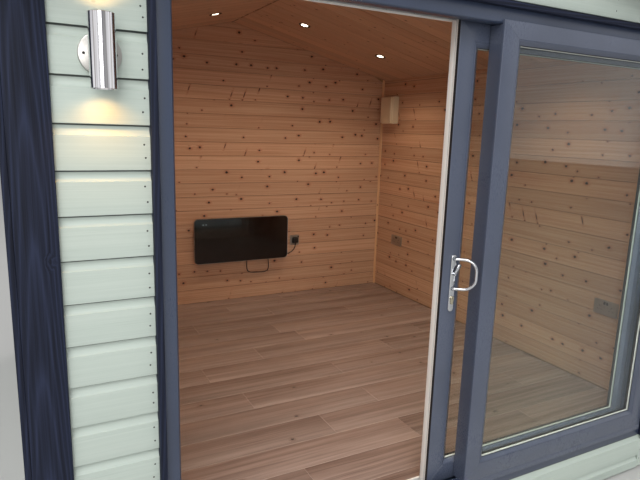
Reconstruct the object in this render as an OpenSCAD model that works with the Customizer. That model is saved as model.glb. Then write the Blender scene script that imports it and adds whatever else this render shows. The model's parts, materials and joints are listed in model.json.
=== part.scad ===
// Garden office pod: clad and lined timber room with a two leaf sliding patio door.
// Front faces -Y, Z is up and the ground is Z 0. Y is laid out from the front cladding face.

/* [Building] */
// Width over the side cladding faces
body_w = 3000; // [2400:10:4000]
// Depth from the front cladding face to the back cladding face
body_l = 2910; // [2200:10:4500]
// Finished floor above the ground
floor_h = 215; // [150:5:350]
// Room height at the side walls
eaves_h = 1867; // [1750:1:2200]
// Room height under the ridge
ridge_h = 2208; // [1900:1:2600]

/* [Walls] */
// Cladding board thickness
clad_t = 15; // [12:1:25]
// Wall frame thickness at the sides and back
stud_t = 61; // [45:1:120]
// Wall frame thickness at the front, deep enough for the door frame
front_stud_t = 93; // [60:1:150]
// Lining board thickness
lining_t = 12; // [8:1:20]
// Gap between the lowest cladding and the ground
clad_gap = 10; // [0:1:40]

/* [Floor] */
// Bearer height
bearer_h = 90; // [50:5:150]
// Bearer width
bearer_w = 70; // [45:5:120]
// Number of bearers
bearer_n = 5; // [3:1:8]
// Laminate floor thickness
laminate_t = 12; // [7:1:20]

/* [Roof] */
// Roof panel thickness, measured upright
roof_t = 46; // [40:1:150]
// Roof membrane thickness, measured upright
membrane_t = 6; // [3:1:20]
// Overhang past the front cladding face
front_over = 110; // [40:5:400]
// Overhang past the back cladding face
back_over = 40; // [30:5:300]
// Overhang past the side cladding faces
side_over = 60; // [30:5:300]
// Barge board and fascia thickness
barge_t = 18; // [12:1:30]
// Barge board and fascia height
barge_h = 120; // [90:5:200]
// Ridge capping width
ridge_cap_w = 150; // [80:5:300]
// Half of the joint between the two roof slopes
ridge_gap = 0.2; // [0.1:0.1:2]
// Fitting gap where one layer lies on another along the slope
seat = 0.05; // [0.02:0.01:0.5]

/* [Trims] */
// Corner board thickness
trim_t = 16; // [12:1:30]
// Corner board width on the front and back
corner_w = 99; // [60:1:150]
// Corner board width on the sides
corner_side_w = 80; // [60:1:150]
// Door surround batten width
surround_w = 19; // [12:1:60]
// Door surround batten stand-off from the cladding face
surround_out = 20; // [10:1:40]
// Height of the batten over the door frame
head_w = 18; // [12:1:60]
// Reach of the head batten above the door frame
head_out = 6; // [3:1:12]
// Size of the corner beads in the room
bead_s = 18; // [10:1:30]

/* [Door frame] */
// Door frame width
frame_w = 2346; // [1800:2:3000]
// Door frame height
frame_h = 1880; // [1700:2:2200]
// Underside of the door frame above the ground
frame_z0 = 192; // [120:1:330]
// Face width of the outer frame
frame_face = 64; // [40:1:90]
// Set-back of the frame face behind the cladding face
frame_set = 6; // [0:1:30]
// Depth of the front flange
flange_t = 35; // [20:1:60]
// Web thickness of the track part
web_t = 18; // [10:1:30]
// Face width of the inner lip
lip_w = 56; // [40:1:70]
// Inner lip thickness
lip_t = 9; // [5:1:14]
// Packing gap round the door frame
pack_gap = 2; // [1:0.5:10]
// Height of the sill block inside the bottom track
sill_up = 18; // [8:1:24]
// Track rail thickness
rail_t = 4; // [3:0.5:6]
// Width of the groove that takes the rail
groove_w = 14; // [13:0.5:18]
// Depth of that groove
groove_d = 12; // [8:1:14]
// Clearance between the rail's tip and the groove
rail_gap = 5; // [5:0.5:7]
// Bevel on the profile edges
edge_cut = 5; // [2:1:8]

/* [Door leaves] */
// Distance that the fixed leaf stands in front of the frame face
fixed_proud = 12; // [6:1:20]
// Overlap of the fixed leaf on the frame face
fixed_lap = 26; // [8:1:30]
// Height of the weather bar under the fixed leaf
weather_h = 26; // [10:1:40]
// Fitting gap round the body of the fixed leaf
leaf_gap = 0.5; // [0.2:0.1:2]
// Depth of the fixed leaf
fixed_t = 67; // [55:1:80]
// Face width of the leaf profiles
sash_w = 90; // [76:1:110]
// Left edge of the fixed leaf from the door centre
fixed_left = 13; // [-40:1:40]
// Depth of the sliding leaf
slide_t = 48; // [46:1:60]
// Running clearance in front of and behind the sliding leaf
run_gap = 5.5; // [5:0.5:8]
// Overlap of the closed leaf behind the jamb face
jamb_lap = 12; // [10:1:36]
// Gap that the stop leaves beside the open leaf
open_gap = 48; // [30:1:90]
// Overlap of the sliding leaf behind the frame face
slide_lap = 14; // [8:1:25]
// Width of the sloping glazing bead
bead_w = 16; // [10:1:22]
// Pane thickness
pane_t = 4; // [3:1:6]
// Double glazed unit thickness
glass_t = 24; // [14:1:28]
// Set-back of the glass behind the leaf face
glass_set = 12; // [8:1:14]
// Cover of the profile over the edge of the glass
glass_in = 12; // [8:1:14]
// Gap between the edge of the glass and the profile
glass_gap = 2; // [1:0.5:4]
// Edge thickness of the glazing bead
bead_lip = 3; // [2:0.5:5]
// Joint line between mitred members
mitre_gap = 0.4; // [0.2:0.1:1]

/* [Door furniture] */
// Height of the handle centre above the ground
handle_z = 1082; // [900:1:1200]
// Handle centre from the leading edge of the sliding leaf
handle_in = 46; // [30:1:60]
// Handle plate height
plate_h = 222; // [180:2:260]
// Handle plate width
plate_w = 26; // [20:1:40]
// Handle plate thickness
plate_t = 9; // [6:1:14]
// Key cylinder centre above the lower end of the plate
cyl_up = 46; // [40:1:54]
// Pull bow height between the arm centres
bow_h = 114; // [90:2:150]
// Pull bow rod diameter
bow_d = 12; // [8:1:16]
// Pull bow reach away from the plate
bow_out = 58; // [30:1:70]
// Pull bow offset to the side
bow_side = 66; // [0:1:80]
// Pull bow corner radius on its centre line
bow_r = 44; // [15:1:50]
// Top arm of the bow below the plate top
bow_drop = 17; // [10:1:40]
// Latch lever length
lever_l = 44; // [30:1:60]
// Latch lever spindle diameter
lever_d = 14; // [10:1:18]
// Latch lever thickness
lever_t = 6; // [4:1:8]
// Latch lever stand-off from the plate
lever_out = 6; // [4:1:12]
// Latch lever width at the spindle
lever_root = 9; // [7:1:12]
// Latch lever width at the tip
lever_tip = 13; // [9:1:16]
// Latch lever angle from upright at rest
lever_rest = 32; // [0:1:60]
// Key cylinder neck width
cyl_w = 10; // [8:1:12]
// Key cylinder barrel diameter
cyl_d = 17; // [15:1:19]
// Key cylinder height
cyl_h = 33; // [26:1:36]
// Key cylinder stand-off from the plate
cyl_out = 5; // [2:1:8]
// Reach of the inside pull from its plate to its centre line
inside_out = 32; // [28:1:50]
// Inside pull corner radius on its centre line
inside_r = 20; // [12:1:26]

/* [Wall lights] */
// Light tube diameter
tube_d = 62; // [50:1:90]
// Light tube height
tube_h = 170; // [120:2:260]
// Light centre height above the ground
light_z = 1797; // [1500:5:1900]
// Back plate centre above the tube centre
light_up = 4; // [0:1:20]
// Light tube wall thickness
tube_wall = 2.5; // [1.5:0.5:4]
// Depth of the open tube ends
tube_deep = 18; // [10:1:40]
// Width of the square arm between plate and tube
arm_w = 28; // [20:1:36]
// Tube axis stand-off from the cladding face
light_out = 58; // [45:1:90]
// Back plate diameter
light_plate_d = 108; // [80:1:140]
// Back plate thickness
light_plate_t = 10; // [5:1:16]

/* [Room fittings] */
// Heater width
heater_w = 806; // [500:2:1200]
// Heater height
heater_h = 365; // [300:5:600]
// Heater thickness
heater_t = 24; // [15:1:60]
// Heater corner radius
heater_r = 32; // [5:1:60]
// Gap between the heater and the lining
heater_gap = 30; // [20:1:60]
// Heater centre from the room centre line
heater_x = 71; // [-300:1:300]
// Heater centre above the ground
heater_z = 730; // [500:5:1200]
// Heater bracket centre from the heater centre
bracket_x = 250; // [150:5:300]
// Heater bracket width
bracket_w = 30; // [25:1:60]
// Heater bracket height
bracket_h = 80; // [50:5:120]
// Underside of the brackets above the heater centre
bracket_up = 40; // [0:5:60]
// Cord inlet block width
inlet_w = 40; // [30:1:60]
// Cord inlet block height and depth
inlet_s = 24; // [18:1:28]
// Side of the cord inlet block from the heater centre
inlet_x = -1; // [-60:1:60]
// Cord inlet block centre above the heater centre
inlet_z = 10; // [-100:1:100]
// Socket plate height
plate_s = 86; // [80:1:90]
// Double socket plate width
plate_d = 146; // [140:1:150]
// Socket plate thickness
plate_th = 8; // [5:1:12]
// Socket plate corner radius
plate_r = 6; // [2:1:12]
// Socket centre height above the ground
socket_z = 686; // [500:5:1200]
// Rear side wall socket centre from the back lining
socket_back = 329; // [200:1:600]
// Front side wall socket centre from the front lining
socket_front = 321; // [200:1:600]
// Plug centre from the room centre line
plug_x = 561; // [400:1:700]
// Plug body size
plug_s = 50; // [44:1:54]
// Plug body depth
plug_t = 30; // [24:1:40]
// Cord diameter
cord_d = 7; // [5:0.5:9]
// Downlight bezel diameter
down_d = 84; // [60:1:110]
// Downlight bezel thickness
down_t = 4; // [2:0.5:8]
// Downlight lens diameter
lens_d = 58; // [40:1:90]
// Set-back of the lens in the bezel
lens_in = 2; // [1:0.5:3]
// Downlight spacing across the room
down_pitch = 640; // [400:10:900]
// Downlight row from the back lining
down_back = 610; // [300:5:900]
// Consumer unit length along the wall
unit_l = 168; // [120:2:300]
// Consumer unit height
unit_h = 230; // [180:2:300]
// Consumer unit depth
unit_t = 78; // [60:1:120]
// Underside of the consumer unit above the ground
unit_z = 1702; // [1200:1:1900]
// Consumer unit from the back lining
unit_back = 77; // [40:1:300]
// Consumer unit cover depth
cover_t = 22; // [10:1:40]
// Consumer unit cover set-in from the box edges
cover_in = 6; // [2:1:14]

/* [Hidden] */
$fn = 48;
half_w = body_w/2;
core_hw = half_w - clad_t;
room_hw = core_hw - stud_t - lining_t;
front_in = clad_t + front_stud_t + lining_t;
core_back = body_l - clad_t;
lining_back = core_back - stud_t;
back_in = lining_back - lining_t;
roof_front = -front_over;
roof_back = body_l + back_over;
roof_hw = half_w + side_over;
y_mid = (roof_front + roof_back)/2;
slope = (ridge_h - eaves_h)/room_hw;
ceil_ridge = floor_h + ridge_h;
lining_top = ceil_ridge - seat;
ceil_top = ceil_ridge + lining_t*sqrt(1 + slope*slope);
wall_top = ceil_top - seat;
roof_top = ceil_top + roof_t;
deck_z0 = bearer_h;
deck_z1 = floor_h - laminate_t;
bearer_step = (2*core_hw - bearer_w)/(bearer_n - 1);
frame_hw = frame_w/2;
frame_z1 = frame_z0 + frame_h;
face_hw = frame_hw - frame_face;
face_z0 = frame_z0 + frame_face;
face_z1 = frame_z1 - frame_face;
open_hw = frame_hw + pack_gap;
open_z1 = frame_z1 + pack_gap;
clad_z1 = frame_z1 + head_out;
head_z0 = clad_z1 - head_w;
fixed_y = frame_set - fixed_proud;
fixed_right = face_hw + fixed_lap;
fixed_z0 = face_z0 - fixed_lap + weather_h;
fixed_z1 = face_z1 + fixed_lap;
slide_y = fixed_y + fixed_t + run_gap;
slide_back = slide_y + slide_t;
track_y0 = frame_set + flange_t;
track_y1 = slide_back + run_gap;
frame_back = track_y1 + lip_t;
rail_y = slide_y + slide_t/2;
slide_z0 = face_z0 - slide_lap;
slide_z1 = face_z1 + slide_lap;
slide_w = face_hw + jamb_lap + fixed_left + sash_w;
slide_open_x = frame_hw - web_t - open_gap - slide_w;
handle_x = slide_open_x + handle_in;
plate_y = slide_y - plate_t;
bow_z = handle_z + plate_h/2 - bow_drop - bow_h/2;
cyl_z = handle_z - plate_h/2 + cyl_up;
bow_reach = sqrt(bow_out*bow_out + bow_side*bow_side) - bow_d/2;
light_x = (frame_hw + half_w - corner_w)/2;
heater_y = back_in - heater_gap - heater_t;
down_rows = [front_in + down_back, back_in - down_back];
above = 500;

// Cord route from the plug to the heater: X, Y from the back lining, Z
cord_route = [
    [561, -23, 661],
    [561, -23, 643],
    [556, -21, 621],
    [539, -18, 597],
    [513, -15, 579],
    [481, -15, 572],
    [450, -15, 576],
    [420, -15, 592],
    [396, -15, 620],
    [378, -15, 655],
    [366, -15, 700],
    [359, -15, 750],
    [355, -15, 800],
    [353, -15, 826],
    [349, -15, 842],
    [337, -15, 854],
    [321, -15, 858],
    [305, -15, 854],
    [293, -15, 842],
    [289, -15, 826],
    [289, -15, 790],
    [294, -15, 730],
    [300, -15, 660],
    [306, -15, 600],
    [311, -15, 540],
    [315, -15, 490],
    [313, -15, 458],
    [296, -15, 436],
    [264, -15, 429],
    [215, -15, 431],
    [168, -15, 434],
    [138, -15, 443],
    [122, -15, 465],
    [119, -15, 510],
    [122, -15, 580],
    [126, -15, 650],
    [126, -15, 696],
    [115, -15, 725],
    [92, -15, 740],
    [70, -15, 740]];

// Moves the layout so that the middle of the roof is over the origin
module site() {
    translate([0, -y_mid, 0]) children();
}

// Box from two corners
module span(a, b) {
    translate(a) cube(b - a);
}

// Extrudes an outline drawn in X and Z from y0 to y1
module upright(y0, y1) {
    translate([0, y1, 0]) rotate([90, 0, 0]) linear_extrude(y1 - y0) children();
}

// Height of a sloping plane that is z at the ridge
function under(z, x) = z - slope*abs(x);

// Upright slab across the building with a pitched top
module gable_slab(hw, z0, top, y0, y1) {
    upright(y0, y1)
        polygon([[-hw, z0], [hw, z0], [hw, under(top, hw)], [0, top], [-hw, under(top, hw)]]);
}

// Long slab with a sloping top between x0 and x1
module side_slab(x0, x1, z0, top, y0, y1) {
    upright(y0, y1)
        polygon([[x0, z0], [x1, z0], [x1, under(top, x1)], [x0, under(top, x0)]]);
}

// Sloping slab on one side of the ridge, t thick measured upright
module pitch_slab(side, x1, z, t, y0, y1) {
    upright(y0, y1)
        polygon([[side*ridge_gap, under(z, ridge_gap)], [side*x1, under(z, x1)],
            [side*x1, under(z, x1) + t], [side*ridge_gap, under(z, ridge_gap) + t]]);
}

// Bar along +X with a profile of [depth, inward] points, both ends mitred for a frame w wide
module mitred_bar(length, w, profile) {
    g = mitre_gap/2;
    depth = [for (p = profile) p[0]];
    intersection() {
        rotate([90, 0, 90]) linear_extrude(length) polygon(profile);
        upright(min(depth) - 1, max(depth) + 1)
            polygon([[g - 1, -1], [length - g + 1, -1],
                [length - g - w - 1, w + 1], [g + w + 1, w + 1]]);
    }
}

// Four mitred bars round a rectangle
module mitred_ring(x0, x1, z0, z1, w, profile) {
    translate([x0, 0, z0]) mitred_bar(x1 - x0, w, profile);
    translate([x1, 0, z0]) rotate([0, -90, 0]) mitred_bar(z1 - z0, w, profile);
    translate([x1, 0, z1]) rotate([0, 180, 0]) mitred_bar(x1 - x0, w, profile);
    translate([x0, 0, z1]) rotate([0, 90, 0]) mitred_bar(z1 - z0, w, profile);
}

// Plate outline with round corners, centred
module round_plate(w, h, r) {
    square([w - 2*r, h], center = true);
    square([w, h - 2*r], center = true);
    for (a = [-1, 1], b = [-1, 1])
        translate([a*(w/2 - r), b*(h/2 - r)]) circle(r = r);
}

module base_bearers() {
    color("#4a4038") site() for (i = [0:bearer_n - 1])
        translate([-core_hw + i*bearer_step, clad_t, 0]) cube([bearer_w, core_back - clad_t, bearer_h]);
}

module floor_deck() {
    color("#8a7350") site() difference() {
        span([-core_hw, clad_t, deck_z0], [core_hw, core_back, deck_z1]);
        span([-open_hw, clad_t - 1, frame_z0 - pack_gap], [open_hw, frame_back + 1, deck_z1 + 1]);
    }
}

module laminate_floor() {
    color("#8c7261") site() difference() {
        span([-room_hw, front_in, deck_z1], [room_hw, back_in, floor_h]);
        span([-open_hw, front_in - 1, deck_z1 - 1], [open_hw, frame_back + 1, floor_h + 1]);
    }
}

// Part of the front wall core between two corners
module front_core(x0, x1, z0, z1) {
    intersection() {
        gable_slab(core_hw, deck_z1, wall_top, clad_t, clad_t + front_stud_t);
        span([x0, 0, z0], [x1, front_in, z1]);
    }
}

module front_wall_left() {
    color("#9b7a52") site() front_core(-core_hw, -open_hw, deck_z1, open_z1);
}

module front_wall_right() {
    color("#9b7a52") site() front_core(open_hw, core_hw, deck_z1, open_z1);
}

module front_wall_gable() {
    color("#9b7a52") site() front_core(-core_hw, core_hw, open_z1, ceil_ridge + above);
}

module left_wall() {
    color("#9b7a52") site()
        side_slab(-core_hw, -core_hw + stud_t, deck_z1, wall_top, clad_t + front_stud_t, lining_back);
}

module right_wall() {
    color("#9b7a52") site()
        side_slab(core_hw - stud_t, core_hw, deck_z1, wall_top, clad_t + front_stud_t, lining_back);
}

module back_wall() {
    color("#9b7a52") site() gable_slab(core_hw, deck_z1, wall_top, lining_back, core_back);
}

// Part of the front cladding between two corners
module front_skin(x0, x1, z0, z1) {
    intersection() {
        gable_slab(half_w, clad_gap, wall_top, 0, clad_t);
        span([x0, -1, z0], [x1, clad_t + 1, z1]);
    }
}

module front_cladding() {
    color("#c3cec3") site() {
        front_skin(-half_w, -frame_hw, clad_gap, clad_z1);
        front_skin(frame_hw, half_w, clad_gap, clad_z1);
    }
}

module gable_cladding() {
    color("#c3cec3") site() front_skin(-half_w, half_w, clad_z1, ceil_ridge + above);
}

module skirt_cladding() {
    color("#c3cec3") site() front_skin(-frame_hw, frame_hw, clad_gap, frame_z0);
}

module side_cladding() {
    color("#c3cec3") site() {
        side_slab(-half_w, -core_hw, clad_gap, wall_top, clad_t, core_back);
        side_slab(core_hw, half_w, clad_gap, wall_top, clad_t, core_back);
    }
}

module back_cladding() {
    color("#c3cec3") site() gable_slab(half_w, clad_gap, wall_top, core_back, body_l);
}

module front_lining() {
    color("#b57d4e") site() difference() {
        gable_slab(room_hw, floor_h, lining_top, front_in - lining_t, front_in);
        span([-open_hw, front_in - lining_t - 1, deck_z1], [open_hw, front_in + 1, open_z1]);
    }
}

module side_linings() {
    color("#b57d4e") site() {
        side_slab(-room_hw - lining_t, -room_hw, deck_z1, lining_top, front_in - lining_t, lining_back);
        side_slab(room_hw, room_hw + lining_t, deck_z1, lining_top, front_in - lining_t, lining_back);
    }
}

module back_lining() {
    color("#b57d4e") site() gable_slab(room_hw, floor_h, lining_top, back_in, lining_back);
}

module ceiling_lining() {
    color("#8f6a48") site() for (s = [-1, 1])
        pitch_slab(s, room_hw + lining_t, ceil_ridge, wall_top - ceil_ridge,
            front_in - lining_t, lining_back);
}

module roof_panels() {
    color("#6b5a45") site() for (s = [-1, 1])
        pitch_slab(s, roof_hw, ceil_top, roof_t, roof_front + barge_t, roof_back - barge_t);
}

module roof_membrane() {
    top = roof_top + seat;
    edge = roof_hw + barge_t;
    cap = ridge_cap_w/2;
    color("#3a3c40") site() upright(roof_front, roof_back)
        polygon([[-edge, under(top, edge)], [0, top], [edge, under(top, edge)],
            [edge, under(top, edge) + membrane_t], [cap, under(top, cap) + membrane_t],
            [cap, under(top, cap) + 2*membrane_t], [0, top + 2*membrane_t],
            [-cap, under(top, cap) + 2*membrane_t], [-cap, under(top, cap) + membrane_t],
            [-edge, under(top, edge) + membrane_t]]);
}

module barge_boards() {
    color("#2c2f3c") site() for (s = [-1, 1], y = [roof_front, roof_back - barge_t])
        pitch_slab(s, roof_hw, roof_top - barge_h, barge_h, y, y + barge_t);
}

module eaves_fascias() {
    top = under(roof_top, roof_hw + barge_t);
    color("#2c2f3c") site() for (m = [0, 1]) mirror([m, 0, 0])
        span([roof_hw, roof_front, top - barge_h], [roof_hw + barge_t, roof_back, top]);
}

// Corner board pair at the front left, its top cut to the roof line
module corner_pair() {
    intersection() {
        union() {
            span([-half_w, -trim_t, clad_gap], [-half_w + corner_w, 0, ceil_ridge]);
            span([-half_w - trim_t, -trim_t, clad_gap], [-half_w, corner_side_w, ceil_ridge]);
        }
        gable_slab(half_w + trim_t, 0, wall_top, -trim_t - 1, corner_side_w + 1);
    }
}

module corner_boards() {
    color("#262b3c") site() for (m = [0, 1], n = [0, 1])
        translate([0, n*body_l, 0]) mirror([0, n, 0]) mirror([m, 0, 0]) corner_pair();
}

module door_surround() {
    color("#33384a") site() {
        for (m = [0, 1]) mirror([m, 0, 0])
            span([-frame_hw, -surround_out, frame_z0],
                [-frame_hw + surround_w, frame_set, head_z0 - mitre_gap]);
        span([-frame_hw, -surround_out, head_z0], [frame_hw, frame_set, clad_z1]);
    }
}

function frame_profile() = [[frame_set, 0], [frame_set, frame_face - edge_cut],
    [frame_set + edge_cut, frame_face], [track_y0, frame_face], [track_y0, 0]];

module door_frame() {
    color("#3b4152") site()
        mitred_ring(-frame_hw, frame_hw, frame_z0, frame_z1, frame_face, frame_profile());
}

// Web of the frame behind the flange, with a sill block and a rail for the sliding leaf
module door_track() {
    end = frame_hw - web_t - mitre_gap;
    sill_z = frame_z0 + web_t + sill_up;
    color("#343a49") site() {
        mitred_ring(-frame_hw, frame_hw, frame_z0, frame_z1, web_t,
            [[track_y0, 0], [track_y0, web_t], [track_y1, web_t], [track_y1, 0]]);
        span([-end, track_y0, frame_z0 + web_t], [end, track_y1, sill_z]);
        span([-end, rail_y - rail_t/2, sill_z], [end, rail_y + rail_t/2, slide_z0 + groove_d - rail_gap]);
        span([-end, rail_y - rail_t/2, slide_z1 - groove_d + rail_gap],
            [end, rail_y + rail_t/2, frame_z1 - web_t]);
    }
}

module door_lip() {
    color("#e9e6e0") site()
        mitred_ring(-frame_hw, frame_hw, frame_z0, frame_z1, lip_w,
            [[track_y1, 0], [track_y1, lip_w], [frame_back - 2, lip_w],
                [frame_back, lip_w - edge_cut], [frame_back, 0]]);
}

// Leaf profile: sloping bead in front, glazing rebate, sloping bead behind
function sash_profile(y, t) = let (
        in_front = y + glass_set,
        behind = in_front + glass_t,
        rebate = sash_w - glass_in - glass_gap)
    [[y, 0], [y, sash_w - bead_w], [in_front - bead_lip, sash_w], [in_front, sash_w],
        [in_front, rebate], [behind, rebate],
        [behind, sash_w], [behind + bead_lip, sash_w], [y + t, sash_w - bead_w], [y + t, 0]];

// Two panes of a sealed unit held in a leaf with its face at y
module glass_unit(x0, x1, z0, z1, y) {
    cover = sash_w - glass_in;
    front = y + glass_set;
    for (pane = [front, front + glass_t - pane_t])
        span([x0 + cover, pane, z0 + cover], [x1 - cover, pane + pane_t, z1 - cover]);
}

// Its lap lies on the frame face, its body is cut back to fit the frame and a weather bar closes its foot
module fixed_sash() {
    color("#3f4557") site() {
        difference() {
            mitred_ring(fixed_left, fixed_right, fixed_z0, fixed_z1, sash_w,
                sash_profile(fixed_y, fixed_t));
            span([fixed_left - 1, frame_set, frame_z0], [frame_hw, slide_y, face_z0 + leaf_gap]);
            span([fixed_left - 1, frame_set, face_z1 - leaf_gap], [frame_hw, slide_y, frame_z1]);
            span([face_hw - leaf_gap, frame_set, frame_z0], [frame_hw, slide_y, frame_z1]);
        }
        span([fixed_left, fixed_y, fixed_z0 - weather_h], [fixed_right, frame_set, fixed_z0]);
    }
}

module fixed_glass() {
    color("#b9d3d6") site()
        glass_unit(fixed_left, fixed_right, fixed_z0, fixed_z1, fixed_y);
}

// The leaf runs over the rails, which stand in a groove along its foot and its head
module sliding_sash() {
    color("#3f4557") site() difference() {
        mitred_ring(slide_open_x, slide_open_x + slide_w, slide_z0, slide_z1, sash_w,
            sash_profile(slide_y, slide_t));
        for (z = [slide_z0 - 1, slide_z1 - groove_d])
            span([slide_open_x - 1, rail_y - groove_w/2, z],
                [slide_open_x + slide_w + 1, rail_y + groove_w/2, z + groove_d + 1]);
    }
}

module sliding_glass() {
    color("#b9d3d6") site()
        glass_unit(slide_open_x, slide_open_x + slide_w, slide_z0, slide_z1, slide_y);
}

// Plate with round ends, centred, from y0 to y1
module long_plate(w, h, y0, y1) {
    upright(y0, y1) {
        square([w, h - w], center = true);
        for (s = [-1, 1]) translate([0, s*(h - w)/2]) circle(d = w);
    }
}

// Round bar that leaves a face along +X, turns, runs upright and comes back
module pull_bow(reach, r) {
    for (s = [-1, 1]) {
        translate([0, 0, s*bow_h/2]) rotate([0, 90, 0]) cylinder(d = bow_d, h = reach - r, $fn = 20);
        translate([reach - r, 0, s*(bow_h/2 - r)]) rotate([90, s > 0 ? 0 : 90, 0])
            rotate_extrude(angle = 90, $fn = 32) translate([r, 0]) circle(d = bow_d, $fn = 20);
    }
    translate([reach, 0, -bow_h/2 + r]) cylinder(d = bow_d, h = bow_h - 2*r, $fn = 20);
}

// Outline of the key cylinder, grown for its hole
module cylinder_outline(grow) {
    drop = cyl_h - cyl_d/2 - cyl_w/2;
    translate([0, cyl_h/2 - cyl_d/2]) {
        circle(d = cyl_d + 2*grow);
        translate([-cyl_w/2 - grow, -drop]) square([cyl_w + 2*grow, drop]);
        translate([0, -drop]) circle(d = cyl_w + 2*grow);
    }
}

module outside_handle() {
    color("#d7dadd") site() translate([handle_x, 0, 0]) {
        difference() {
            translate([0, 0, handle_z]) long_plate(plate_w, plate_h, plate_y, slide_y);
            translate([0, 0, bow_z]) upright(plate_y - 1, slide_y + 1) circle(d = lever_d + 1);
            translate([0, 0, cyl_z]) upright(plate_y - 1, slide_y + 1) cylinder_outline(0.5);
        }
        translate([0, plate_y, bow_z]) rotate([0, 0, -atan2(bow_out, bow_side)]) pull_bow(bow_reach, bow_r);
    }
}

module latch_lever() {
    tip_z = lever_l - lever_tip/2;
    color("#c9ccd0") site() translate([handle_x, plate_y, bow_z]) {
        upright(-lever_out - lever_t - 1, plate_t - 1) circle(d = lever_d);
        rotate([0, lever_rest, 0]) upright(-lever_out - lever_t, -lever_out) {
            polygon([[-lever_root/2, 0], [lever_root/2, 0],
                [lever_tip/2 - 1, tip_z], [-lever_tip/2 + 1, tip_z]]);
            translate([0, tip_z]) circle(d = lever_tip);
        }
    }
}

module key_cylinder() {
    color("#b8b3a4") site() translate([handle_x, 0, cyl_z])
        upright(plate_y - cyl_out, slide_y - 0.5) cylinder_outline(0);
}

module inside_handle() {
    color("#d7dadd") site() translate([handle_x, slide_back, 0]) {
        translate([0, 0, handle_z]) long_plate(plate_w, plate_h, 0, plate_t);
        translate([0, plate_t, bow_z]) rotate([0, 0, 90]) pull_bow(inside_out, inside_r);
    }
}

module light_plates() {
    arm = light_out - tube_d/2 + 4;
    color("#d9dbdc") site() for (s = [-1, 1]) translate([s*light_x, 0, light_z + light_up]) {
        rotate([90, 0, 0]) cylinder(d = light_plate_d, h = light_plate_t);
        translate([-arm_w/2, -arm, -arm_w/2]) cube([arm_w, arm - light_plate_t, arm_w]);
    }
}

module light_tubes() {
    notch = arm_w + 0.6;
    color("#e2e3e4") site() for (s = [-1, 1]) translate([s*light_x, -light_out, light_z]) difference() {
        translate([0, 0, -tube_h/2]) cylinder(d = tube_d, h = tube_h);
        translate([-notch/2, tube_d/2 - 4, light_up - notch/2]) cube([notch, tube_d, notch]);
        for (z = [-tube_h/2 - 1, tube_h/2 - tube_deep])
            translate([0, 0, z]) cylinder(d = tube_d - 2*tube_wall, h = tube_deep + 1);
    }
}

module downlights() {
    color("#e6e2d8") site() for (y = down_rows, i = [-3, -1, 1, 3])
        translate([i*down_pitch/2, y, under(lining_top, i*down_pitch/2)])
            rotate([0, sign(i)*atan(slope), 0]) translate([0, 0, -down_t]) difference() {
                cylinder(d = down_d, h = down_t);
                translate([0, 0, -1]) cylinder(d = lens_d, h = lens_in + 1);
            }
}

module heater_panel() {
    color("#141418") site() translate([heater_x, heater_y, heater_z]) {
        upright(0, heater_t) round_plate(heater_w, heater_h, heater_r);
        translate([inlet_x - inlet_w, heater_t, inlet_z - inlet_s/2]) cube([inlet_w, inlet_s, inlet_s]);
    }
}

module heater_brackets() {
    color("#2a2a2e") site() for (s = [-1, 1])
        translate([heater_x + s*bracket_x - bracket_w/2, back_in - heater_gap, heater_z + bracket_up])
            cube([bracket_w, heater_gap, bracket_h]);
}

function unit(v) = v/norm(v);
function cord_dir(i) = i == 0 ? unit(cord_route[1] - cord_route[0])
    : i == len(cord_route) - 1 ? unit(cord_route[i] - cord_route[i - 1])
    : unit(cord_route[i + 1] - cord_route[i - 1]);

// Round cord swept along its route, one ring of points at each route point
module heater_cord() {
    sides = 8;
    last = len(cord_route) - 1;
    points = [for (i = [0:last])
        let (along = cord_dir(i), across = unit(cross(along, [0, 1, 0])), out = cross(across, along))
        for (k = [0:sides - 1])
            cord_route[i] + cord_d/2*(cos(360*k/sides)*across + sin(360*k/sides)*out)];
    faces = concat(
        [[for (k = [0:sides - 1]) k]],
        [for (i = [0:last - 1], k = [0:sides - 1])
            [i*sides + k, (i + 1)*sides + k, (i + 1)*sides + (k + 1)%sides, i*sides + (k + 1)%sides]],
        [[for (k = [0:sides - 1]) last*sides + sides - 1 - k]]);
    color("#18181a") site() translate([0, back_in, 0]) polyhedron(points, faces);
}

module heater_plug() {
    color("#1c1c1e") site() translate([plug_x, 0, socket_z])
        upright(back_in - plate_th - plug_t, back_in - plate_th) round_plate(plug_s, plug_s, plate_r);
}

// Socket plate on the back lining, centred on x = 0 and z = 0
module socket_plate(w) {
    upright(-plate_th, 0) round_plate(w, plate_s, plate_r);
}

module wall_sockets() {
    color("#9d9a96") site() {
        translate([plug_x, back_in, socket_z]) socket_plate(plate_s);
        for (y = [front_in + socket_front, back_in - socket_back])
            translate([room_hw, y, socket_z]) rotate([0, 0, -90]) socket_plate(plate_d);
    }
}

module consumer_unit() {
    y = back_in - unit_back;
    color("#cfc4b4") site() {
        span([room_hw - unit_t + cover_t, y - unit_l, unit_z], [room_hw, y, unit_z + unit_h]);
        span([room_hw - unit_t, y - unit_l + cover_in, unit_z + cover_in],
            [room_hw - unit_t + cover_t, y - cover_in, unit_z + unit_h - cover_in]);
    }
}

module corner_beads() {
    height = under(lining_top, room_hw) - floor_h;
    color("#a87048") site() for (m = [0, 1]) mirror([m, 0, 0]) {
        translate([-room_hw, back_in, floor_h]) linear_extrude(height)
            polygon([[0, 0], [bead_s, 0], [0, -bead_s]]);
        translate([-room_hw, front_in, floor_h]) linear_extrude(height)
            polygon([[0, 0], [0, bead_s], [bead_s, 0]]);
    }
}

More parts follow.
